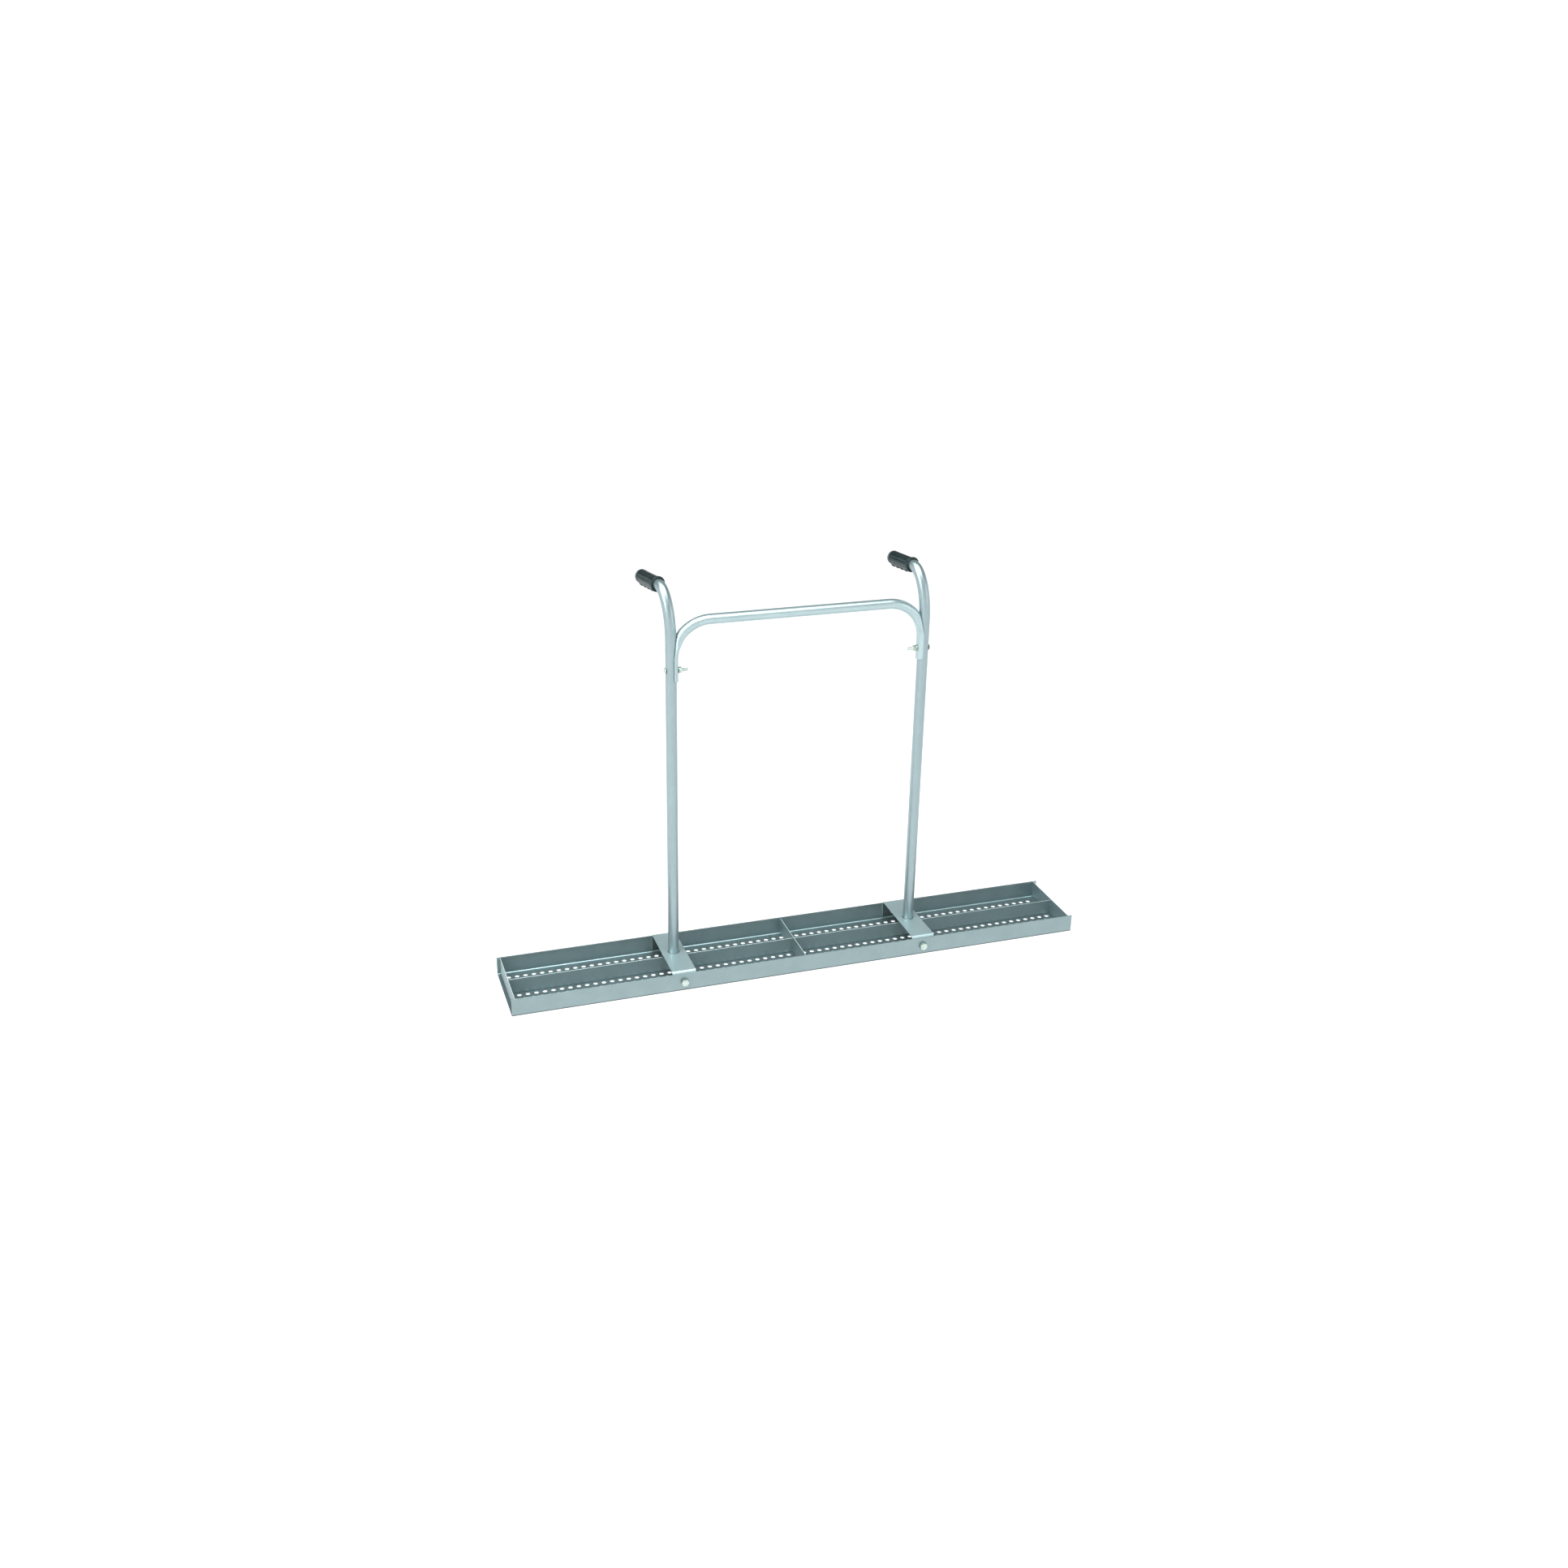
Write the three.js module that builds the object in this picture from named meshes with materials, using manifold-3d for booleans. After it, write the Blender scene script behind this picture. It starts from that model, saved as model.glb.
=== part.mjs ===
// Levelling tray with two pull handles.
// A long, shallow sheet-steel tray is crossed by two folded brackets. Each bracket carries an
// upright tube that bends over into a rubber grip, and a bowed crossbar with flattened saddle ends
// ties the two uprights together. The tray's floor is a plain sheet here; on the real tray it is
// perforated all over with staggered round holes.
// Millimetres, +X along the tray, +Y towards the rear (the grips point that way), +Z up.
// The origin is the middle of the tray's underside.
import * as THREE from 'three';
import { mergeVertices } from 'three/addons/utils/BufferGeometryUtils.js';
import Module from 'manifold-3d';

const wasm = await Module();
wasm.setup();

// ---- driving dimensions ----
const FIT_GAP = 0.3;                 // air left between neighbouring pieces
const HOLE_EASE = 0.6;               // how much wider a bolt hole is than its bolt
const OVERRUN = 1;                   // how far a cutting or joining body runs past the face it meets

const TRAY_LENGTH = 1500;
const TRAY_WIDTH = 212;
const TRAY_HEIGHT = 48;
const SHEET = 2;                     // tray sheet thickness
const SHEET_BEND = 2;                // inner bend radius of the tray's two long folds

const END_PLATE_INSET = 8;           // walls and floor run this far past the end plates
const END_PLATE_TOP = 46;
const DIVIDER_TOP = 45;
const RIB_TOP = 42;

const UPRIGHT_SPAN = 640;            // between the two upright axes
const UPRIGHT_DIAMETER = 26.9;
const UPRIGHT_WALL = 2.3;
const UPRIGHT_FOOT = 44;             // height of the tube's lower end, just above the rib
const BEND_START = 874;
const BEND_RISE = 126;               // the bend is a quarter ellipse, taller than it is deep
const BEND_REACH = 56;
const HANDLE_TURN = THREE.MathUtils.degToRad(15);   // both handles swing towards the left end
const GRIP_LENGTH = 92;
const GRIP_END = 12;                 // solid rubber past the end of the tube
const GRIP_WALL = 3.3;
const GRIP_COLLAR = 5.3;             // how far the collar stands off the tube
const GRIP_COLLAR_LENGTH = 5;
const GRIP_COLLAR_SLOPE = 2;         // length over which the collar falls to the body
const GRIP_DOME = 16;                // length of the rounded end
const RIDGE_COUNT = 4;
const RIDGE_START = 20;
const RIDGE_PITCH = 16.8;
const RIDGE_SIZE = [8, 5.5, 6.5];    // half its width, half its length, half its height
const RIDGE_SINK = 1.5;              // from the body's underside up to a ridge's centre

const BRACKET_LENGTH = 60;           // along the tray
const BRACKET_PLATE = 3;
const BRACKET_TOP = 54;
const BRACKET_BEND = 5;              // inner bend radius
const BRACKET_SKIRT = 8;             // height of the flanges' lower edges
const BRACKET_BOLT_HEIGHT = 25;

const CROSSBAR_DIAMETER = 25;
const CROSSBAR_WALL = 1.5;
const CROSSBAR_HEIGHT = 924;         // axis of the straight middle stretch
const CROSSBAR_BEND = 92;            // radius of its two bends
const CROSSBAR_LEG_OFFSET = 4;       // from the upright's axis to the bar's, before it is pressed flat
const SADDLE_BOTTOM = 778;
const SADDLE_BOLT_HEIGHT = 805;
const SADDLE_TOP = 832;              // above this the flattened end opens into the round tube
const SADDLE_THICKNESS = 3.6;
const SADDLE_REACH = 20;             // half the flattened width, measured round the upright
const EDGE_SHARE = 1.5;              // above 1 leaves part of a section's points for its round edges

// Fasteners: thread diameter, across flats, head height, nut height, washer diameter and thickness,
// and how far the thread stands out of its nut. The M8 bolts have round domed heads.
const M10 = { thread: 10, flats: 17, head: 6.4, nut: 8, washer: 20, washerThick: 2, past: 3 };
const M8 = { thread: 8, flats: 13, head: 4, nut: 6.5, washer: 16, washerThick: 1.6, past: 14 };
const DOME_WIDTH = 15;
const DOME_RIM = 0.8;                // height of the domed head's straight edge

const TUBE_SIDES = 24;
const SMALL_SIDES = 16;

// ---- materials ----
const steel = new THREE.MeshStandardMaterial({ color: 0xa3bbbd, roughness: 0.42, metalness: 0.75 });
const tubeSteel = new THREE.MeshStandardMaterial({ color: 0xa6bcc0, roughness: 0.36, metalness: 0.8 });
const zinc = new THREE.MeshStandardMaterial({ color: 0xc9cdbb, roughness: 0.38, metalness: 0.8 });
const rubber = new THREE.MeshStandardMaterial({ color: 0x24292a, roughness: 0.55, metalness: 0 });

// ---- geometry helpers ----
const X_AXIS = new THREE.Vector3(1, 0, 0);
const Y_AXIS = new THREE.Vector3(0, 1, 0);
const Z_AXIS = new THREE.Vector3(0, 0, 1);

function toSolid(geometry) {
  const bare = geometry.clone();
  bare.deleteAttribute('normal');
  bare.deleteAttribute('uv');
  const merged = mergeVertices(bare, 1e-4);
  return new wasm.Manifold(new wasm.Mesh({
    numProp: 3,
    vertProperties: new Float32Array(merged.attributes.position.array),
    triVerts: new Uint32Array(merged.index.array),
  }));
}

function toGeometry(solid) {
  const mesh = solid.getMesh();
  const geometry = new THREE.BufferGeometry();
  geometry.setAttribute('position', new THREE.BufferAttribute(new Float32Array(mesh.vertProperties), 3));
  geometry.setIndex(new THREE.BufferAttribute(new Uint32Array(mesh.triVerts), 1));
  geometry.computeVertexNormals();
  return geometry;
}

// Joins the first geometry with the added ones, then cuts the others out of it.
function carve(base, { add = [], cut = [] }) {
  let solid = toSolid(base);
  for (const piece of add) solid = solid.add(toSolid(piece));
  for (const piece of cut) solid = solid.subtract(toSolid(piece));
  return toGeometry(solid);
}

function block([x0, x1], [y0, y1], [z0, z1]) {
  const geometry = new THREE.BoxGeometry(x1 - x0, y1 - y0, z1 - z0);
  return geometry.translate((x0 + x1) / 2, (y0 + y1) / 2, (z0 + z1) / 2);
}

// A prism or cylinder whose axis runs along the given direction from one station to another.
function rod(axis, diameter, from, to, sides = SMALL_SIDES) {
  const geometry = new THREE.CylinderGeometry(diameter / 2, diameter / 2, Math.abs(to - from), sides);
  geometry.translate(0, (from + to) / 2, 0);
  return geometry.applyQuaternion(new THREE.Quaternion().setFromUnitVectors(Y_AXIS, axis));
}

// Extrudes an outline drawn in (y, z) along the tray, from x0 to x1.
function alongTray(outline, x0, x1, curveSegments = 4) {
  const geometry = new THREE.ExtrudeGeometry(outline, { depth: x1 - x0, bevelEnabled: false, curveSegments });
  geometry.applyMatrix4(new THREE.Matrix4().makeBasis(Y_AXIS, Z_AXIS, X_AXIS));
  return geometry.translate(x0, 0, 0);
}

function fromFaces(points, faces) {
  const geometry = new THREE.BufferGeometry();
  const numbers = points.flatMap((p) => [p.x, p.y, p.z]);
  geometry.setAttribute('position', new THREE.Float32BufferAttribute(numbers, 3));
  geometry.setIndex(faces);
  geometry.computeVertexNormals();
  return geometry;
}

// A closed body lofted through matching rings of points, which turn counter-clockwise as seen
// against the direction of travel. The cap lists the triangles that fill one ring.
function loft(rings, cap) {
  const sides = rings[0].length;
  const last = rings.length - 1;
  const at = (i, j) => i * sides + (j % sides);
  const faces = [];
  for (let i = 0; i < last; i += 1) {
    for (let j = 0; j < sides; j += 1) {
      faces.push(at(i, j), at(i, j + 1), at(i + 1, j + 1));
      faces.push(at(i, j), at(i + 1, j + 1), at(i + 1, j));
    }
  }
  for (const [a, b, c] of cap) {
    faces.push(at(0, a), at(0, c), at(0, b));
    faces.push(at(last, a), at(last, b), at(last, c));
  }
  return fromFaces(rings.flat(), faces);
}

function named(name, geometry, material) {
  const mesh = new THREE.Mesh(geometry, material);
  mesh.name = name;
  return mesh;
}

// ---- tray ----
const HALF_LENGTH = TRAY_LENGTH / 2;
const HALF_WIDTH = TRAY_WIDTH / 2;
const INNER_HALF_WIDTH = HALF_WIDTH - SHEET - FIT_GAP;
const FOLD = SHEET + SHEET_BEND;
const PLATE_FOOT = SHEET + FIT_GAP;

function floorSheet() {
  const halfFloor = HALF_WIDTH - FOLD - FIT_GAP;
  const outline = new THREE.Shape();
  outline.moveTo(-HALF_LENGTH, -halfFloor);
  outline.lineTo(HALF_LENGTH, -halfFloor);
  outline.lineTo(HALF_LENGTH, halfFloor);
  outline.lineTo(-HALF_LENGTH, halfFloor);
  return new THREE.ExtrudeGeometry(outline, { depth: SHEET, bevelEnabled: false });
}

// One long wall with the quarter-round fold that joins it to the floor; side is -1 front, 1 rear.
function wall(side) {
  const outline = new THREE.Shape();
  outline.moveTo(HALF_WIDTH, TRAY_HEIGHT);
  outline.lineTo(HALF_WIDTH - SHEET, TRAY_HEIGHT);
  outline.lineTo(HALF_WIDTH - SHEET, FOLD);
  outline.absarc(HALF_WIDTH - FOLD, FOLD, SHEET_BEND, 0, -Math.PI / 2, true);
  outline.lineTo(HALF_WIDTH - FOLD, 0);
  outline.absarc(HALF_WIDTH - FOLD, FOLD, FOLD, -Math.PI / 2, 0, false);
  const straight = alongTray(outline, -HALF_LENGTH, HALF_LENGTH);
  if (side < 0) straight.rotateZ(Math.PI);
  const holes = [-1, 1].map((end) => {
    const reach = [side * (HALF_WIDTH - FOLD), side * (HALF_WIDTH + OVERRUN)];
    const hole = rod(Y_AXIS, M10.thread + HOLE_EASE, ...reach);
    return hole.translate(end * UPRIGHT_SPAN / 2, 0, BRACKET_BOLT_HEIGHT);
  });
  return carve(straight, { cut: holes });
}

// An upright plate across the tray, its lower corners clipped to clear the folds.
function crossPlate(top, x0, x1) {
  const clip = SHEET_BEND + FIT_GAP;
  const outline = new THREE.Shape([
    new THREE.Vector2(-INNER_HALF_WIDTH, top),
    new THREE.Vector2(-INNER_HALF_WIDTH, PLATE_FOOT + clip),
    new THREE.Vector2(-INNER_HALF_WIDTH + clip, PLATE_FOOT),
    new THREE.Vector2(INNER_HALF_WIDTH - clip, PLATE_FOOT),
    new THREE.Vector2(INNER_HALF_WIDTH, PLATE_FOOT + clip),
    new THREE.Vector2(INNER_HALF_WIDTH, top),
  ]);
  return alongTray(outline, x0, x1);
}

function tray() {
  const group = new THREE.Group();
  const plateFace = HALF_LENGTH - END_PLATE_INSET;
  group.add(named('tray_floor', floorSheet(), steel));
  group.add(named('tray_front_wall', wall(-1), steel));
  group.add(named('tray_rear_wall', wall(1), steel));
  group.add(named('cross_divider', crossPlate(DIVIDER_TOP, -SHEET / 2, SHEET / 2), steel));
  for (const [side, label] of [[-1, 'left'], [1, 'right']]) {
    const plateEnds = [side * plateFace, side * (plateFace - SHEET)].sort((a, b) => a - b);
    group.add(named(`end_plate_${label}`, crossPlate(END_PLATE_TOP, ...plateEnds), steel));
    const ribStart = SHEET / 2 + FIT_GAP;
    const ribEnd = plateFace - SHEET - FIT_GAP;
    const ribEnds = [side * ribStart, side * ribEnd].sort((a, b) => a - b);
    const rib = block(ribEnds, [-SHEET / 2, SHEET / 2], [PLATE_FOOT, RIB_TOP]);
    group.add(named(`centre_rib_${label}`, rib, steel));
  }
  return group;
}

// ---- bracket and its bolts, built round x = 0 ----
const FLANGE_FACE = INNER_HALF_WIDTH;

function bracket() {
  const outerBend = BRACKET_BEND + BRACKET_PLATE;
  const bendY = FLANGE_FACE - outerBend;
  const bendZ = BRACKET_TOP - outerBend;
  const innerFace = FLANGE_FACE - BRACKET_PLATE;
  const outline = new THREE.Shape();
  outline.moveTo(FLANGE_FACE, BRACKET_SKIRT);
  outline.absarc(bendY, bendZ, outerBend, 0, Math.PI / 2, false);
  outline.absarc(-bendY, bendZ, outerBend, Math.PI / 2, Math.PI, false);
  outline.lineTo(-FLANGE_FACE, BRACKET_SKIRT);
  outline.lineTo(-innerFace, BRACKET_SKIRT);
  outline.absarc(-bendY, bendZ, BRACKET_BEND, Math.PI, Math.PI / 2, true);
  outline.absarc(bendY, bendZ, BRACKET_BEND, Math.PI / 2, 0, true);
  outline.lineTo(innerFace, BRACKET_SKIRT);
  const folded = alongTray(outline, -BRACKET_LENGTH / 2, BRACKET_LENGTH / 2, 5);
  const tubeHole = rod(Z_AXIS, UPRIGHT_DIAMETER + 2 * FIT_GAP, bendZ, BRACKET_TOP + OVERRUN, TUBE_SIDES);
  const flangeEnd = FLANGE_FACE + OVERRUN;
  const boltHole = rod(Y_AXIS, M10.thread + HOLE_EASE, -flangeEnd, flangeEnd);
  boltHole.translate(0, 0, BRACKET_BOLT_HEIGHT);
  return carve(folded, { cut: [tubeHole, boltHole] });
}

// A hexagon head with its shank; the head's seat is at zero and the shank runs along the axis.
function hexBolt(axis, size, shank) {
  const head = rod(axis, (2 * size.flats) / Math.sqrt(3), -size.head, 0, 6);
  return carve(head, { add: [rod(axis, size.thread, -OVERRUN, shank)] });
}

function ring(axis, outer, inner, thickness, sides = TUBE_SIDES) {
  const bore = rod(axis, inner, -OVERRUN, thickness + OVERRUN);
  return carve(rod(axis, outer, 0, thickness, sides), { cut: [bore] });
}

// The bolt, washer and nut that hold one bracket flange to its wall; side is -1 front, 1 rear.
function flangeFixing(label, side) {
  const group = new THREE.Group();
  const inward = new THREE.Vector3(0, -side, 0);
  const washerSeat = HALF_WIDTH + FIT_GAP;
  const headSeat = washerSeat + M10.washerThick + FIT_GAP;
  const nutSeat = FLANGE_FACE - BRACKET_PLATE - FIT_GAP;
  const shank = headSeat - nutSeat + M10.nut + M10.past;
  const bore = M10.thread + HOLE_EASE;
  const bolt = named(`bracket_bolt_${label}`, hexBolt(inward, M10, shank), zinc);
  bolt.position.y = side * headSeat;
  const washer = named(`bracket_washer_${label}`, ring(inward, M10.washer, bore, M10.washerThick), zinc);
  washer.position.y = side * (washerSeat + M10.washerThick);
  const nutWidth = (2 * M10.flats) / Math.sqrt(3);
  const nut = named(`bracket_nut_${label}`, ring(inward, nutWidth, bore, M10.nut, 6), zinc);
  nut.position.y = side * nutSeat;
  group.add(bolt, washer, nut);
  group.position.z = BRACKET_BOLT_HEIGHT;
  return group;
}

// ---- upright and grip, built round x = 0 ----
const RISE_TOP = BEND_START + BEND_RISE;
const handleDirection = new THREE.Vector3(-Math.sin(HANDLE_TURN), Math.cos(HANDLE_TURN), 0);
const handleSide = new THREE.Vector3().crossVectors(handleDirection, Z_AXIS);

// Stations along the tube's axis: how far it has reached out, its height and its slope.
function uprightStations(overrun) {
  const stations = [{ reach: 0, height: UPRIGHT_FOOT - overrun, slope: Math.PI / 2 }];
  const bendSteps = 14;
  for (let i = 0; i <= bendSteps; i += 1) {
    const a = (i / bendSteps) * (Math.PI / 2);
    stations.push({
      reach: BEND_REACH * (1 - Math.cos(a)),
      height: BEND_START + BEND_RISE * Math.sin(a),
      slope: Math.atan2(BEND_RISE * Math.cos(a), BEND_REACH * Math.sin(a)),
    });
  }
  stations.push({ reach: BEND_REACH + GRIP_LENGTH - GRIP_END + overrun, height: RISE_TOP, slope: 0 });
  return stations;
}

function uprightBody(radius, overrun) {
  const rings = uprightStations(overrun).map(({ reach, height, slope }) => {
    const centre = handleDirection.clone().multiplyScalar(reach).setZ(height);
    const up = handleDirection.clone().multiplyScalar(-Math.sin(slope)).setZ(Math.cos(slope));
    return Array.from({ length: TUBE_SIDES }, (_, j) => {
      const a = (2 * Math.PI * j) / TUBE_SIDES;
      return centre.clone()
        .addScaledVector(up, radius * Math.cos(a))
        .addScaledVector(handleSide, radius * Math.sin(a));
    });
  });
  const fan = Array.from({ length: TUBE_SIDES - 2 }, (_, j) => [0, j + 1, j + 2]);
  return loft(rings, fan);
}

function upright() {
  const radius = UPRIGHT_DIAMETER / 2;
  const boltHole = rod(X_AXIS, M8.thread + HOLE_EASE, -UPRIGHT_DIAMETER, UPRIGHT_DIAMETER);
  boltHole.translate(0, 0, SADDLE_BOLT_HEIGHT);
  return carve(uprightBody(radius, 0), { cut: [uprightBody(radius - UPRIGHT_WALL, OVERRUN), boltHole] });
}

// A rubber sleeve, open at its collar and closed at its rounded end, with finger ridges below.
function grip() {
  const bore = UPRIGHT_DIAMETER / 2 + FIT_GAP;
  const body = bore + GRIP_WALL;
  const collar = bore + GRIP_COLLAR;
  const domeStart = GRIP_LENGTH - GRIP_DOME;
  const slopeEnd = GRIP_COLLAR_LENGTH + GRIP_COLLAR_SLOPE;
  const profile = [[0, 0], [collar, 0], [collar, GRIP_COLLAR_LENGTH], [body, slopeEnd], [body, domeStart]];
  const domeSteps = 5;
  for (let i = 1; i <= domeSteps; i += 1) {
    const a = (i / domeSteps) * (Math.PI / 2);
    profile.push([i === domeSteps ? 0 : body * Math.cos(a), domeStart + GRIP_DOME * Math.sin(a)]);
  }
  const sleeve = new THREE.LatheGeometry(profile.map(([r, s]) => new THREE.Vector2(r, s)), TUBE_SIDES);
  const ridges = Array.from({ length: RIDGE_COUNT }, (_, i) => {
    const ridge = new THREE.SphereGeometry(1, 12, 8);
    ridge.scale(...RIDGE_SIZE);
    return ridge.translate(0, RIDGE_START + RIDGE_PITCH * i, RIDGE_SINK - body);
  });
  const tubeBore = rod(Y_AXIS, 2 * bore, -OVERRUN, GRIP_LENGTH - GRIP_END, TUBE_SIDES);
  return carve(sleeve, { add: ridges, cut: [tubeBore] });
}

// ---- crossbar ----
const SADDLE_INNER = UPRIGHT_DIAMETER / 2 + FIT_GAP;
const SADDLE_MID = SADDLE_INNER + SADDLE_THICKNESS / 2;

// One cross-section of the bar in (n, y): n points away from the upright. The section is a flat
// round-ended strip that is curved round the upright; flatness 1 is the saddle, 0 the round tube.
function barSection(flatness, inset) {
  const blend = (round, flat) => round + (flat - round) * flatness;
  const half = blend(CROSSBAR_DIAMETER / 2, SADDLE_REACH);
  const thick = blend(CROSSBAR_DIAMETER / 2, SADDLE_THICKNESS / 2) - inset;
  const straight = half - inset - thick;
  const bow = Math.max(flatness / SADDLE_MID, 1e-4);
  const shift = (SADDLE_MID - CROSSBAR_LEG_OFFSET) * flatness;
  return Array.from({ length: TUBE_SIDES }, (_, j) => {
    const a = (2 * Math.PI * (j + 0.5)) / TUBE_SIDES;
    const across = Math.sin(a);
    const along = thick * across + straight * THREE.MathUtils.clamp(EDGE_SHARE * across, -1, 1);
    const radius = 1 / bow + thick * Math.cos(a);
    const away = shift + radius * Math.cos(along * bow) - 1 / bow;
    return new THREE.Vector2(away, radius * Math.sin(along * bow));
  });
}

// Stations along the left half of the bar, from the saddle's lower edge to the middle.
function crossbarStations(overrun) {
  const legX = -UPRIGHT_SPAN / 2 + CROSSBAR_LEG_OFFSET;
  const bendZ = CROSSBAR_HEIGHT - CROSSBAR_BEND;
  const openEnd = bendZ + CROSSBAR_BEND * Math.sin(Math.PI / 4);
  const stations = [
    { x: legX, z: SADDLE_BOTTOM - overrun, slope: Math.PI / 2 },
    { x: legX, z: SADDLE_TOP, slope: Math.PI / 2 },
  ];
  const bendSteps = 12;
  for (let i = 0; i <= bendSteps; i += 1) {
    const a = (i / bendSteps) * (Math.PI / 2);
    stations.push({
      x: legX + CROSSBAR_BEND * (1 - Math.cos(a)),
      z: bendZ + CROSSBAR_BEND * Math.sin(a),
      slope: Math.PI / 2 - a,
    });
  }
  return stations.map((station) => ({
    ...station,
    flatness: 1 - THREE.MathUtils.smoothstep(station.z, SADDLE_TOP, openEnd),
  }));
}

function crossbarBody(inset, overrun) {
  const left = crossbarStations(overrun).map(({ x, z, slope, flatness }) => (
    barSection(flatness, inset).map(({ x: n, y }) => (
      new THREE.Vector3(x + n * Math.sin(slope), y, z - n * Math.cos(slope))
    ))
  ));
  const mirrored = (points) => points.map(({ x, y, z }) => new THREE.Vector3(-x, y, z));
  const right = left.map(mirrored).reverse();
  return loft([...left, ...right], THREE.ShapeUtils.triangulateShape(barSection(1, inset), []));
}

// The pressed side of each end follows the upright, one wall thick all the way up the transition.
function crossbar() {
  const dents = (radius) => [-1, 1].map((side) => (
    uprightBody(radius, 0).translate(side * UPRIGHT_SPAN / 2, 0, 0)
  ));
  const hollow = carve(crossbarBody(CROSSBAR_WALL, OVERRUN), { cut: dents(SADDLE_INNER + CROSSBAR_WALL) });
  const reach = UPRIGHT_SPAN / 2;
  const holes = [-1, 1].map((side) => {
    const hole = rod(X_AXIS, M8.thread + HOLE_EASE, side * (reach - UPRIGHT_DIAMETER), side * reach);
    return hole.translate(0, 0, SADDLE_BOLT_HEIGHT);
  });
  return carve(crossbarBody(0, 0), { cut: [...dents(SADDLE_INNER), hollow, ...holes] });
}

// ---- saddle fixings, built round the left upright ----
const HEAD_SEAT = -(UPRIGHT_DIAMETER / 2 + FIT_GAP);
const WASHER_SEAT = SADDLE_INNER + SADDLE_THICKNESS + FIT_GAP;
const NUT_SEAT = WASHER_SEAT + M8.washerThick + FIT_GAP;

// A bolt with a round domed head, turned about X; its seat is at zero.
function domedBolt(shank) {
  const rimRadius = DOME_WIDTH / 2;
  const rise = M8.head - DOME_RIM;
  const domeRadius = (rimRadius ** 2 + rise ** 2) / (2 * rise);
  const domeAngle = Math.asin(rimRadius / domeRadius);
  const steps = 5;
  const profile = Array.from({ length: steps + 1 }, (_, i) => {
    const a = (i / steps) * domeAngle;
    return [domeRadius * Math.sin(a), domeRadius * (1 - Math.cos(a)) - M8.head];
  });
  profile.push([rimRadius, 0], [M8.thread / 2, 0], [M8.thread / 2, shank], [0, shank]);
  const bolt = new THREE.LatheGeometry(profile.map(([r, s]) => new THREE.Vector2(r, s)), TUBE_SIDES);
  return bolt.applyQuaternion(new THREE.Quaternion().setFromUnitVectors(Y_AXIS, X_AXIS));
}

function saddleFixing(label) {
  const group = new THREE.Group();
  const bore = M8.thread + HOLE_EASE;
  const shank = NUT_SEAT + M8.nut + M8.past - HEAD_SEAT;
  const bolt = named(`saddle_bolt_${label}`, domedBolt(shank), zinc);
  bolt.position.x = HEAD_SEAT;
  const washer = named(`saddle_washer_${label}`, ring(X_AXIS, M8.washer, bore, M8.washerThick), zinc);
  washer.position.x = WASHER_SEAT;
  const nutWidth = (2 * M8.flats) / Math.sqrt(3);
  const nut = named(`saddle_nut_${label}`, ring(X_AXIS, nutWidth, bore, M8.nut, 6), zinc);
  nut.position.x = NUT_SEAT;
  group.add(bolt, washer, nut);
  group.position.z = SADDLE_BOLT_HEIGHT;
  return group;
}

// ---- assembly ----
const assembly = new THREE.Group();
assembly.add(tray());
for (const [side, label] of [[-1, 'left'], [1, 'right']]) {
  const station = new THREE.Group();
  station.position.x = side * UPRIGHT_SPAN / 2;
  station.add(named(`bracket_${label}`, bracket(), steel));
  station.add(flangeFixing(`${label}_front`, -1), flangeFixing(`${label}_rear`, 1));
  station.add(named(`upright_${label}`, upright(), tubeSteel));
  const sleeve = named(`grip_${label}`, grip(), rubber);
  sleeve.position.copy(handleDirection).multiplyScalar(BEND_REACH + FIT_GAP).setZ(RISE_TOP);
  sleeve.rotation.z = HANDLE_TURN;
  station.add(sleeve);
  const fixing = saddleFixing(label);
  if (side > 0) fixing.rotation.z = Math.PI;
  station.add(fixing);
  assembly.add(station);
}
assembly.add(named('crossbar', crossbar(), tubeSteel));

export default assembly;
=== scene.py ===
import math

import bpy
import numpy as np
from mathutils import Matrix, Vector


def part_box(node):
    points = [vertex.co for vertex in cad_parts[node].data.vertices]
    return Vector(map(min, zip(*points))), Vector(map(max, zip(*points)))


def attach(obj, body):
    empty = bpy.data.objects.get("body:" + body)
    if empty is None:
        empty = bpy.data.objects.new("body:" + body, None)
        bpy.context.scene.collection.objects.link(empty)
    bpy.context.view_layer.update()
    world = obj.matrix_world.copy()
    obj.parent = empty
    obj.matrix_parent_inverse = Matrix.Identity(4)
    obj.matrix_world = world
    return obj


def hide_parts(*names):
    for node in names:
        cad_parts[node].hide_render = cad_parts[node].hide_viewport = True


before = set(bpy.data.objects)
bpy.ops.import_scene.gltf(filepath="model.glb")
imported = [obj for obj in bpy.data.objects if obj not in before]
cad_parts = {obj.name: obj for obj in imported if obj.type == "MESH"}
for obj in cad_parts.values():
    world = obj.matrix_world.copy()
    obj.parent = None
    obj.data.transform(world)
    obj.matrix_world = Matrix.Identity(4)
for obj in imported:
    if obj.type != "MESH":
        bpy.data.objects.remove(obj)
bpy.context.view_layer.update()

# Looks of a levelling drag: a long perforated tray, two bent tube uprights with rubber grips, a
# crossbar pressed round the uprights, and its bolts. Metres, in the same frame as the CAD part.

MM = 0.001
BODY = "tray_and_handles"


def corner(node):
    """The lowest and highest corner of a CAD node, as a 2 by 3 array."""
    return np.array([list(c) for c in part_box(node)])


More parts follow.
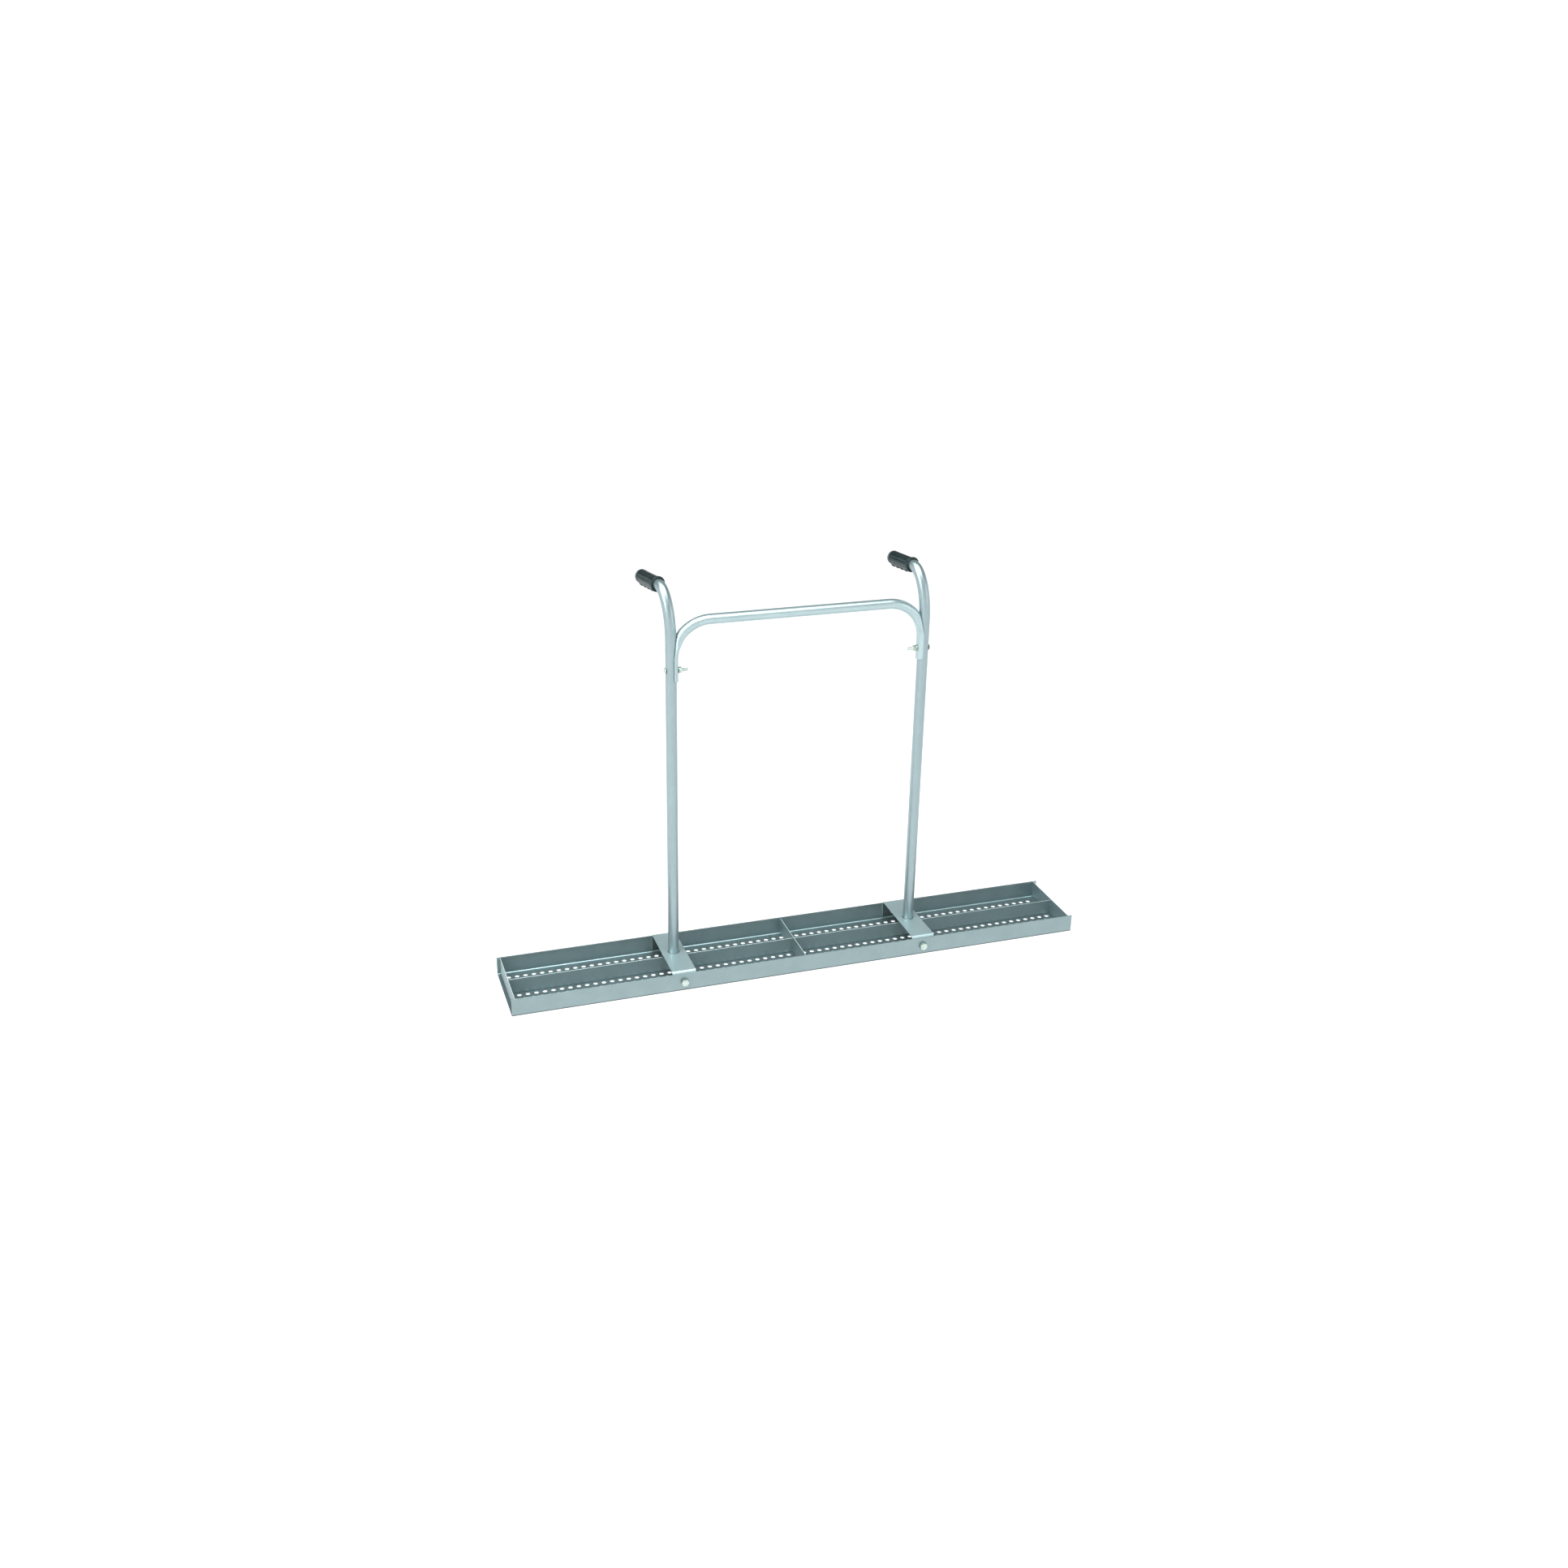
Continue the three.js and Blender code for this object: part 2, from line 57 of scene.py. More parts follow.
# ---- sizes and places read from the frame ----
WALL = corner("tray_rear_wall")
HALF_LENGTH = WALL[1, 0]
HALF_WIDTH = WALL[1, 1]
WALL_TOP = WALL[1, 2]
SHEET = corner("tray_floor")[1, 2]
END_PLATE = corner("end_plate_right")
DIVIDER = corner("cross_divider")
RIB = corner("centre_rib_right")
BRACKET = corner("bracket_right")
UPRIGHT = corner("upright_right")
SADDLE = corner("crossbar")
SADDLE_WASHER = corner("saddle_washer_right")
SADDLE_NUT = corner("saddle_nut_right")
SADDLE_BOLT = corner("saddle_bolt_right")
FLANGE_BOLT = corner("bracket_bolt_right_front")
FLANGE_WASHER = corner("bracket_washer_right_front")
FLANGE_NUT = corner("bracket_nut_right_front")

UPRIGHT_X = BRACKET[:, 0].mean()
SADDLE_BOLT_Z = SADDLE_BOLT[:, 2].mean()
FLANGE_BOLT_Z = FLANGE_BOLT[:, 2].mean()

# ---- driving sizes that a box does not give ----
TRAY_BEND = 2 * MM                 # inner radius of the tray's two long folds
HOLE_PITCH = 21.2 * MM
HOLE_RADIUS = 6.1 * MM
HOLE_ROWS = 10
HOLES_PER_ROW = 69
HOLE_ROW_GAP = HOLE_PITCH * math.sqrt(3) / 2
HOLE_FIELD_SHIFT = -3 * MM         # the field of holes sits this far off the tray's middle line
ROW_STAGGER = 0.25                 # rows shift this share of the pitch, left and right in turn
SHEET_RIM = 0.5 * MM               # the sheet's long edges are worn thinner over this width
RIM_WEAR = 0.55                    # share of the thickness gone at the very edge
PLATE_CORNER = 2.6 * MM            # lower corners of the plates across the tray
PLATE_EDGE = 0.75 * MM

BRACKET_PLATE = 3 * MM
BRACKET_BEND = 5 * MM
FLANGE_HOLE = 5.3 * MM
WELD_RADIUS = 1.5 * MM

TUBE_RADIUS = 13.45 * MM
TUBE_WALL = 2.3 * MM
BEND_START = 874 * MM
BEND_REACH = 56 * MM
HANDLE_TURN = math.radians(15)
BEND_TOP = UPRIGHT[1, 2] - TUBE_RADIUS
GRIP_LENGTH = 92 * MM
GRIP_SOLID_END = 12 * MM
GRIP_BORE = 13.75 * MM
GRIP_BODY = 17.05 * MM
GRIP_COLLAR = 19.05 * MM
COLLAR_LENGTH = 5 * MM
DOME_START = GRIP_LENGTH - 16 * MM  # where the grip's rounded end begins
RIDGE_START = 20 * MM
RIDGE_PITCH = 16.8 * MM
RIDGES = 4
RIDGE_HALF_LENGTH = 6 * MM
RIDGE_HEIGHT = 5.2 * MM

BAR_RADIUS = 12.5 * MM
BAR_TOP = SADDLE[1, 2] - BAR_RADIUS
BAR_BEND = 92 * MM
BAR_LEG_OFFSET = 4 * MM
SADDLE_TOP = 832 * MM
SADDLE_THICKNESS = 3.6 * MM
SADDLE_HALF_WIDTH = 20 * MM
SADDLE_CORNER = 7 * MM
SADDLE_INNER = 13.75 * MM
SADDLE_MID = SADDLE_INNER + SADDLE_THICKNESS / 2

DOME_HEIGHT = 4 * MM
M10_RADIUS, M10_PITCH, M10_FLATS = 5 * MM, 1.5 * MM, 17 * MM
M8_RADIUS, M8_PITCH, M8_FLATS = 4 * MM, 1.25 * MM, 13 * MM
WASHER_PLAY = 0.3 * MM             # a washer's bore is this much wider than the bolt's radius
HEAD_GAP = 0.3 * MM                # the bolt heads' hexagon or dome starts this far off its seat
CHAMFER_START = 0.475              # a hexagon's end face is round, this share of the flats in radius
CHAMFER_SLOPE = math.tan(math.radians(30))
HEX_SIDES = 96
THREAD_SIDES = 20

# ---- tones, as linear red, green and blue ----
STEEL_TONES = (0.30, 0.39, 0.405), (0.28, 0.365, 0.38)
# Light tones for a painted highlight along the inside of the tray's folds.
FOLD_HIGHLIGHT_TONES = (0.44, 0.56, 0.58), (0.52, 0.66, 0.68)


# ---- materials ----
def new_shader(name, **values):
    """A material with one Principled shader whose constants are set on its own sockets."""
    material = bpy.data.materials.new(name)
    material.use_nodes = True
    shader = material.node_tree.nodes["Principled BSDF"]
    for socket, value in values.items():
        shader.inputs[socket.replace("_", " ")].default_value = value
    return material, material.node_tree, shader


def noise(tree, scale, detail=3.0, stretch=(1, 1, 1)):
    """Noise on Object coordinates, which may be stretched along an axis; returns its Fac output."""
    coordinates = tree.nodes.new("ShaderNodeTexCoord")
    mapping = tree.nodes.new("ShaderNodeMapping")
    mapping.inputs["Scale"].default_value = stretch
    texture = tree.nodes.new("ShaderNodeTexNoise")
    texture.inputs["Scale"].default_value = scale
    texture.inputs["Detail"].default_value = detail
    tree.links.new(coordinates.outputs["Object"], mapping.inputs["Vector"])
    tree.links.new(mapping.outputs["Vector"], texture.inputs["Vector"])
    return texture.outputs["Fac"]


def ramp(tree, factor, low, high, start=0.3, end=0.7):
    """A colour ramp from low to high as the factor goes from start to end."""
    node = tree.nodes.new("ShaderNodeValToRGB")
    node.color_ramp.elements[0].position = start
    node.color_ramp.elements[1].position = end
    node.color_ramp.elements[0].color = (*low, 1)
    node.color_ramp.elements[1].color = (*high, 1)
    tree.links.new(factor, node.inputs["Fac"])
    return node.outputs["Color"]


def mixed(tree, factor, first, second, mode="MIX"):
    """Mixes two colour outputs; factor is a number or an output."""
    node = tree.nodes.new("ShaderNodeMix")
    node.data_type = "RGBA"
    node.blend_type = mode
    if isinstance(factor, float):
        node.inputs["Factor"].default_value = factor
    else:
        tree.links.new(factor, node.inputs["Factor"])
    tree.links.new(first, node.inputs["A"])
    tree.links.new(second, node.inputs["B"])
    return node.outputs["Result"]


def bumps(tree, shader, *layers):
    """Stacks bump layers of (height output, strength, distance in metres) onto the shader."""
    normal = None
    for height, strength, distance in layers:
        node = tree.nodes.new("ShaderNodeBump")
        node.inputs["Strength"].default_value = strength
        node.inputs["Distance"].default_value = distance
        tree.links.new(height, node.inputs["Height"])
        if normal is not None:
            tree.links.new(normal, node.inputs["Normal"])
        normal = node.outputs["Normal"]
    tree.links.new(normal, shader.inputs["Normal"])


def grey(value):
    """The same number for red, green and blue."""
    return (value, value, value)


def stepped(tree, value, start, end):
    """0 where the value output is at start and 1 where it is at end, with a straight line between."""
    node = tree.nodes.new("ShaderNodeMapRange")
    node.inputs["From Min"].default_value = start
    node.inputs["From Max"].default_value = end
    tree.links.new(value, node.inputs["Value"])
    return node.outputs["Result"]


def outward_and_up(tree):
    """Outputs for the distance from the tray's middle plane, which is the size of Y, and for Z."""
    coordinates = tree.nodes.new("ShaderNodeTexCoord")
    parts = tree.nodes.new("ShaderNodeSeparateXYZ")
    tree.links.new(coordinates.outputs["Object"], parts.inputs["Vector"])
    outward = tree.nodes.new("ShaderNodeMath")
    outward.operation = "ABSOLUTE"
    tree.links.new(parts.outputs["Y"], outward.inputs[0])
    return outward.outputs["Value"], parts.outputs["Z"]


def metal_finish(name, light, dark, metallic, rough, stretch=(1, 1, 1), mottle=22.0, folds=False):
    """Plated steel: broad mottling between two tones, fine grain, drifting roughness and faint
    dents. With folds, the tray's folds get painted shade low outside, a painted highlight inside."""
    material, tree, shader = new_shader(name, Metallic=metallic, IOR=1.5)
    cloudy = noise(tree, mottle, 5.0)
    grain = noise(tree, 520.0, 2.0, stretch)
    broad = ramp(tree, cloudy, dark, light, 0.34, 0.66)
    speck = ramp(tree, grain, grey(0.93), grey(1.0), 0.35, 0.62)
    colour = mixed(tree, 1.0, broad, speck, "MULTIPLY")
    if folds:
        # Painted shade low on the outside of the two long folds.
        colour = mixed(tree, 1.0, colour, fold_painted_shade(tree), "MULTIPLY")
        # Painted highlight along the inside of the two long folds.
        colour = mixed(tree, fold_painted_highlight(tree), colour, ramp(tree, grain, *FOLD_HIGHLIGHT_TONES))
    tree.links.new(colour, shader.inputs["Base Color"])
    drift = ramp(tree, noise(tree, 60.0, 4.0, stretch), grey(rough - 0.04), grey(rough + 0.05))
    tree.links.new(drift, shader.inputs["Roughness"])
    bumps(tree, shader, (noise(tree, 26.0, 2.0), 0.05, 0.5 * MM), (grain, 0.10, 0.04 * MM))
    return material


def fold_painted_shade(tree):
    """A grey that is dark only low on the outside of the two long folds: painted shade where
    they curve down towards the ground."""
    outward, up = outward_and_up(tree)
    both = tree.nodes.new("ShaderNodeMath")
    both.operation = "MULTIPLY"
    outer_skin = stepped(tree, outward, HALF_WIDTH - 1.4 * MM, HALF_WIDTH - 0.9 * MM)
    tree.links.new(outer_skin, both.inputs[0])
    tree.links.new(stepped(tree, up, 4.8 * MM, 3.0 * MM), both.inputs[1])
    return ramp(tree, both.outputs["Value"], grey(1.0), grey(0.22), 0.0, 1.0)


def fold_painted_highlight(tree):
    """1 on the inside of the two long folds and 0 elsewhere, by the distance from the fold's middle
    line in Y and Z, where a painted highlight lies along the inner bend."""
    outward, up = outward_and_up(tree)
    place = tree.nodes.new("ShaderNodeCombineXYZ")
    tree.links.new(outward, place.inputs["X"])
    tree.links.new(up, place.inputs["Y"])
    away = tree.nodes.new("ShaderNodeVectorMath")
    away.operation = "DISTANCE"
    inset = 2.8 * MM
    away.inputs[1].default_value = (HALF_WIDTH - inset, inset, 0)
    tree.links.new(place.outputs["Vector"], away.inputs[0])
    return stepped(tree, away.outputs["Value"], 1.9 * MM, 1.3 * MM)


def shaded_cut_finish():
    """The edge of sheared and punched sheet: dark as painted shade, rough steel with a fine grain."""
    material, tree, shader = new_shader("painted_shade_cut_edge", Metallic=0.55, IOR=1.5)
    grain = noise(tree, 420.0, 3.0)
    steel = ramp(tree, grain, (0.10, 0.14, 0.145), (0.19, 0.25, 0.26))
    tree.links.new(steel, shader.inputs["Base Color"])
    tree.links.new(ramp(tree, grain, grey(0.5), grey(0.65)), shader.inputs["Roughness"])
    bumps(tree, shader, (grain, 0.2, 0.1 * MM))
    return material


def grip_finish():
    """Satin black moulded rubber: fine stipple, roughness that drifts, and a rounded end that is
    a lighter grey, where a point attribute of the piece says so."""
    material, tree, shader = new_shader(
        "grip_rubber", Metallic=0.0, IOR=1.5, Specular_Tint=(0.68, 0.96, 1.0, 1)
    )
    rubbed = noise(tree, 70.0, 4.0)
    grey_end = tree.nodes.new("ShaderNodeAttribute")
    grey_end.attribute_name = "grey_end"
    black = ramp(tree, rubbed, (0.006, 0.011, 0.012), (0.013, 0.021, 0.023), 0.35, 0.7)
    lighter_end = ramp(tree, rubbed, (0.11, 0.15, 0.15), (0.17, 0.22, 0.22), 0.3, 0.7)
    tree.links.new(mixed(tree, grey_end.outputs["Fac"], black, lighter_end), shader.inputs["Base Color"])
    tree.links.new(ramp(tree, rubbed, grey(0.20), grey(0.32)), shader.inputs["Roughness"])
    stipple, waves = noise(tree, 1500.0, 2.0), noise(tree, 90.0)
    bumps(tree, shader, (stipple, 0.25, 0.06 * MM), (waves, 0.1, 0.3 * MM))
    return material


def weld_finish():
    """Weld metal under the plating: mottled between dark and light, rippled, with a rough skin."""
    material, tree, shader = new_shader("weld_metal", Metallic=0.75, IOR=1.5)
    scale = noise(tree, 210.0, 4.0)
    skin = ramp(tree, scale, (0.09, 0.125, 0.13), (0.24, 0.31, 0.32))
    tree.links.new(skin, shader.inputs["Base Color"])
    tree.links.new(ramp(tree, scale, grey(0.40), grey(0.62)), shader.inputs["Roughness"])
    bumps(tree, shader, (noise(tree, 340.0), 0.5, 0.3 * MM))
    return material


SHEET_FINISH = metal_finish("tray_sheet", *STEEL_TONES, 0.93, 0.42, folds=True)
STRIP_FINISH = metal_finish("welded_strip", *STEEL_TONES, 0.90, 0.52)
# Painted highlight: a light steel for the top faces of the plates and ribs.
PAINTED_HIGHLIGHT_EDGE = metal_finish("painted_highlight_edge", (0.80, 0.98, 0.99), (0.70, 0.88, 0.90), 0.55, 0.36)
# Painted shade: a dark steel for the bracket's under skin.
SHADED_UNDERSIDE_FINISH = metal_finish(
    "painted_shade_underside", (0.12, 0.16, 0.165), (0.08, 0.11, 0.115), 0.80, 0.55
)
PLATE_FINISH = metal_finish("bracket_plate", (0.49, 0.64, 0.66), (0.46, 0.61, 0.63), 0.75, 0.44)
TUBE_FINISH = metal_finish(
    "drawn_tube", (0.34, 0.435, 0.455), (0.325, 0.415, 0.435), 0.85, 0.35, (1, 1, 0.08), 30.0
)
BAR_FINISH = metal_finish(
    "polished_tube", (0.45, 0.57, 0.59), (0.43, 0.545, 0.565), 0.82, 0.36, (0.08, 1, 1), 30.0
)
ZINC_FINISH = metal_finish(
    "zinc_plating", (0.62, 0.72, 0.65), (0.50, 0.60, 0.55), 0.85, 0.28, mottle=160.0
)
# Painted shade: a dark plating for the flange washers against the walls.
SHADED_WASHER_FINISH = metal_finish(
    "painted_shade_plating", (0.24, 0.31, 0.30), (0.15, 0.21, 0.21), 0.75, 0.45, mottle=160.0
)
SHADED_CUT_FINISH = shaded_cut_finish()
GRIP_FINISH = grip_finish()
WELD_FINISH = weld_finish()


# ---- building pieces from arrays ----
def solid_volume(points, faces):
    """Six times the volume inside the faces: the sum of each fan triangle's triple product."""
    total = 0.0
    for group in faces:
        first = points[group[:, 0]]
        for k in range(1, group.shape[1] - 1):
            second, third = points[group[:, k]], points[group[:, k + 1]]
            total += np.einsum("ij,ij->", first, np.cross(second, third))
    return total


def piece(name, points, faces, finish, sharp, body=BODY, replaced=(), edge=None, cut=None):
    """Makes one closed piece. Faces is a list of index arrays; they are all turned over if the
    volume they enclose comes out negative. Sharp is the angle in degrees past which an edge counts as
    sharp. An edge width rounds such edges with a bevel, and without one they are kept sharp. Cut is a
    second finish, for the faces of the second array."""
    if solid_volume(points, faces) < 0:
        faces = [group[:, ::-1] for group in faces]
    mesh = bpy.data.meshes.new(name)
    mesh.from_pydata(points.tolist(), [], [face for group in faces for face in group.tolist()])
    mesh.shade_smooth()
    thing = bpy.data.objects.new(name, mesh)
    bpy.context.collection.objects.link(thing)
    mesh.materials.append(finish)
    if cut is not None:
        mesh.materials.append(cut)
        which = np.concatenate([np.full(len(group), k == 1) for k, group in enumerate(faces)])
        mesh.polygons.foreach_set("material_index", which.astype(np.int32))
    if edge is None:
        mesh.set_sharp_from_angle(angle=math.radians(sharp))
    else:
        bevel = thing.modifiers.new("rounded_edges", "BEVEL")
        bevel.width = edge
        bevel.segments = 2
        bevel.angle_limit = math.radians(sharp)
        bevel.harden_normals = True
    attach(thing, body)
    if replaced:
        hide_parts(*replaced)
    return thing


def grid_quads(rows, columns, close_rows=False, close_columns=False):
    """Quads between neighbouring points of a rows by columns grid, which may close on itself."""
    i = np.arange(rows if close_rows else rows - 1)[:, None]
    j = np.arange(columns if close_columns else columns - 1)[None, :]
    down, right = (i + 1) % rows, (j + 1) % columns
    corners = [i * columns + j, down * columns + j, down * columns + right, i * columns + right]
    return np.stack([np.broadcast_to(c, (len(i), j.shape[1])) for c in corners], -1).reshape(-1, 4)


def capped_rings(rings):
    """Closed rings joined by quads, with a fan of triangles from the middle of the first and of the
    last."""
    count, sides = rings.shape[:2]
    points = np.concatenate([rings.reshape(-1, 3), rings[[0, -1]].mean(1)])
    j = np.arange(sides)
    after = (j + 1) % sides
    last = (count - 1) * sides
    start_fan = np.stack([np.full(sides, count * sides), j, after], 1)
    end_fan = np.stack([np.full(sides, count * sides + 1), last + after, last + j], 1)
    fans = np.concatenate([start_fan, end_fan])
    return points, [grid_quads(count, sides, close_columns=True), fans]


def looped_rings(rings):
    """Closed rings whose last one joins the first again, as on a tube with a wall or a washer."""
    count, sides = rings.shape[:2]
    return rings.reshape(-1, 3), [grid_quads(count, sides, True, True)]


def joined(parts):
    """Several (points, faces) shapes as one, each group of faces renumbered."""
    points, faces, base = [], [], 0
    for shape_points, shape_faces in parts:
        if solid_volume(shape_points, shape_faces) < 0:
            shape_faces = [group[:, ::-1] for group in shape_faces]
        points.append(shape_points)
        faces += [group + base for group in shape_faces]
        base += len(shape_points)
    return np.concatenate(points), faces


def turns(sides):
    """Angles evenly round one turn."""
    return np.arange(sides) * 2 * np.pi / sides


def revolve(radius, height, sides):
    """Turns a profile round Z: each (radius, height) pair becomes a ring. Radius may be a row of
    numbers, one for each side, where the section is not round."""
    angle = turns(sides)
    rings = (len(height), sides)
    radius = np.broadcast_to(np.asarray(radius, float).reshape(len(height), -1), rings)
    z = np.broadcast_to(np.asarray(height, float).reshape(len(height), -1), rings)
    return np.stack([radius * np.cos(angle), radius * np.sin(angle), z], -1)


def laid(points, centre, direction):
    """Turns points made along +Z so that they run along the direction, and moves them to the
    centre."""
    turn = np.array(Vector((0, 0, 1)).rotation_difference(Vector(direction)).to_matrix())
    return points @ turn.T + np.asarray(centre, float)


# ---- folded sheets ----
def sheet_patch(xs, ys):
    """A flat patch of sheet with a point wherever an x line crosses a y line."""
    grid = np.stack(np.meshgrid(xs, ys, indexing="ij"), -1).reshape(-1, 2)
    return grid, grid_quads(len(xs), len(ys))


def holed_cells(centres, half_x, half_y, radius, splits_x, splits_y):
    """Flat cells with a round hole each. Points run round the cell's edge, each with a partner where
    its line to the centre crosses the circle, and quads join the two rings."""
    across = np.linspace(-1, 1, splits_x + 1)[:-1]
    along = np.linspace(-1, 1, splits_y + 1)[:-1]
    edge = np.concatenate([
        np.stack([across, np.full(splits_x, -1.0)], 1),
        np.stack([np.ones(splits_y), along], 1),
        np.stack([-across, np.ones(splits_x)], 1),
        np.stack([-np.ones(splits_y), -along], 1),
    ]) * (half_x, half_y)
    circle = radius * edge / np.linalg.norm(edge, axis=1, keepdims=True)
    ring = np.concatenate([edge, circle])
    count = len(edge)
    j = np.arange(count)
    after = (j + 1) % count
    quads = np.stack([j, after, count + after, count + j], 1)
    centres = np.asarray(centres, float)
    points = (centres[:, None] + ring[None]).reshape(-1, 2)
    offsets = 2 * count * np.arange(len(centres))[:, None, None]
    return points, (quads[None] + offsets).reshape(-1, 4)


def weld(patches):
    """Joins flat patches into one blank: points that round to the same place, on a grid of 0.02 mm,
    become one point."""
    points = np.concatenate([p for p, _ in patches])
    starts = np.cumsum([0] + [len(p) for p, _ in patches[:-1]])
    quads = np.concatenate([q + start for (_, q), start in zip(patches, starts)])
    keys = np.round(points / (0.02 * MM)).astype(np.int64)
    _, first, back = np.unique(keys, axis=0, return_index=True, return_inverse=True)
    return points[first], back.reshape(-1)[quads]


def fold(blank, quads, flat_half, bend, thickness, blank_half, rim):
    """Folds a flat blank into a channel. Up to the flat half width a point stays on the floor, the
    next quarter turn of the bend's middle radius carries it round, and the rest stands up as a wall.
    Each point gets two skins half a thickness either side, which draw together over the rim, by the
    square of the way across it, and an edge with a quad on one side only gets a strip that joins the
    skins."""
    x, s = blank[:, 0], blank[:, 1]
    side = np.where(s < 0, -1.0, 1.0)
    middle = bend + thickness / 2
    past = np.abs(s) - flat_half
    angle = np.clip(past / middle, 0, np.pi / 2)
    up = np.maximum(past - middle * np.pi / 2, 0)
    y = np.minimum(np.abs(s), flat_half) + middle * np.sin(angle)
    z = bend + thickness - middle * np.cos(angle) + up
    centre = np.stack([x, side * y, z], 1)
    normal = np.stack([0 * x, -side * np.sin(angle), np.cos(angle)], 1)
    worn = np.clip((np.abs(s) - (blank_half - rim)) / rim, 0, 1)
    half = (thickness / 2 * (1 - RIM_WEAR * worn**2))[:, None]
    count = len(blank)
    edges = np.concatenate([quads[:, [k, (k + 1) % 4]] for k in range(4)])
    _, which, uses = np.unique(
        np.sort(edges, 1), axis=0, return_inverse=True, return_counts=True
    )
    open_edges = edges[uses[which.reshape(-1)] == 1]
    a, b = open_edges[:, 0], open_edges[:, 1]
    skins = np.concatenate([quads, quads[:, ::-1] + count])
    strips = np.stack([b, a, a + count, b + count], 1)
    return np.concatenate([centre + normal * half, centre - normal * half]), [skins, strips]


def tray_sheet():
    """The tray's sheet: a blank with staggered rows of round holes, one cell of the lattice for each
    hole, plain margins outside the rows, folded up along both long edges."""
    splits_x, splits_y = 6, 4
    step = HOLE_PITCH / splits_x
    outer_cell = (HOLES_PER_ROW / 2 + ROW_STAGGER) * HOLE_PITCH
    lattice = np.arange(round(2 * outer_cell / step) + 1) * step - outer_cell
    xs = np.concatenate([[-HALF_LENGTH], lattice, [HALF_LENGTH]])
    flat_half = HALF_WIDTH - SHEET - TRAY_BEND
    turn = (TRAY_BEND + SHEET / 2) * np.pi / 2
    blank_half = flat_half + turn + WALL_TOP - SHEET - TRAY_BEND
    row_y = HOLE_FIELD_SHIFT + (np.arange(HOLE_ROWS) - (HOLE_ROWS - 1) / 2) * HOLE_ROW_GAP
    patches = []
    for row, y in enumerate(row_y):
        shift = (ROW_STAGGER if row % 2 == 0 else -ROW_STAGGER) * HOLE_PITCH
        hole_x = (np.arange(HOLES_PER_ROW) - (HOLES_PER_ROW - 1) / 2) * HOLE_PITCH + shift
        centres = np.stack([hole_x, np.full(HOLES_PER_ROW, y)], 1)
        cell = (HOLE_PITCH / 2, HOLE_ROW_GAP / 2)
        patches.append(holed_cells(centres, *cell, HOLE_RADIUS, splits_x, splits_y))
        lines = y + np.linspace(-1, 1, splits_y + 1) * cell[1]
        left, right = hole_x[0] - cell[0], hole_x[-1] + cell[0]
        patches.append(sheet_patch(xs[xs < left + step / 2], lines))
        patches.append(sheet_patch(xs[xs > right - step / 2], lines))
    wall_lines = np.concatenate([
        np.linspace(flat_half, flat_half + turn, 7)[:-1],
        np.linspace(flat_half + turn, blank_half - SHEET_RIM, 8),
        blank_half - SHEET_RIM * np.array([0.6, 0.3, 0.0]),
    ])
    front = row_y[0] - HOLE_ROW_GAP / 2
    rear = row_y[-1] + HOLE_ROW_GAP / 2
    front_lines = np.concatenate([-wall_lines[::-1], [(front - flat_half) / 2, front]])
    rear_lines = np.concatenate([[rear, (rear + flat_half) / 2], wall_lines])
    patches += [sheet_patch(xs, front_lines), sheet_patch(xs, rear_lines)]
    blank, quads = weld(patches)
    points, faces = fold(blank, quads, flat_half, TRAY_BEND, SHEET, blank_half, SHEET_RIM)
    nodes = ("tray_floor", "tray_front_wall", "tray_rear_wall")
    # The hole walls and cut edges get the dark finish, as painted shade.
    piece("tray_sheet", points, faces, SHEET_FINISH, 35, replaced=nodes,
          cut=SHADED_CUT_FINISH)


def bracket(side, label):
    """A bracket: a blank with a tube hole and two bolt holes, folded up along both ends and then
    turned upside down, so that its flanges hang inside the walls. Its under skin is dark, as painted
    shade."""
    half_x = (BRACKET[1, 0] - BRACKET[0, 0]) / 2
    flange_face, top, skirt = BRACKET[1, 1], BRACKET[1, 2], BRACKET[0, 2]
    outer = BRACKET_BEND + BRACKET_PLATE
    flat_half = flange_face - outer
    turn = (BRACKET_BEND + BRACKET_PLATE / 2) * np.pi / 2
    blank_half = flat_half + turn + top - outer - skirt
    bolt_s = flat_half + turn + top - outer - FLANGE_BOLT_Z
    cell = 10 * MM                     # half the side of the square cell round a bolt hole
    step = cell / 2
    splits = 4
    xs = np.arange(round(2 * half_x / step) + 1) * step - half_x
    cell_lines = bolt_s + np.linspace(-1, 1, splits + 1) * cell
    lines = np.concatenate([
        np.linspace(half_x, flat_half, 8)[:-1],
        np.linspace(flat_half, flat_half + turn, 9),
        [(flat_half + turn + bolt_s - cell) / 2, bolt_s - cell],
    ])
    tail = np.concatenate([[bolt_s + cell], np.linspace(bolt_s + cell, blank_half, 3)[1:]])
    bolt_places = [(0, bolt_s), (0, -bolt_s)]
    patches = [
        holed_cells([(0, 0)], half_x, half_x, TUBE_RADIUS, len(xs) - 1, len(xs) - 1),
        holed_cells(bolt_places, cell, cell, FLANGE_HOLE, splits, splits),
    ]
    for sign in (-1, 1):
        for stretch in (lines, tail):
            patches.append(sheet_patch(xs, np.sort(sign * stretch)))
        for beside in (xs[xs < -cell + step / 2], xs[xs > cell - step / 2]):
            patches.append(sheet_patch(beside, np.sort(sign * cell_lines)))
    blank, quads = weld(patches)
    no_rim = 0.01 * MM
    points, faces = fold(blank, quads, flat_half, BRACKET_BEND, BRACKET_PLATE, blank_half, no_rim)
    points = points * (1, 1, -1) + (side * UPRIGHT_X, 0, top)
    # The under skin gets the dark finish, as painted shade.
    under, upper = np.split(faces[0], 2)
    faces = [np.concatenate([upper, faces[1]]), under]
    piece(f"bracket_plate_{label}", points, faces, PLATE_FINISH, 50,
          replaced=(f"bracket_{label}",), edge=0.45 * MM, cut=SHADED_UNDERSIDE_FINISH)


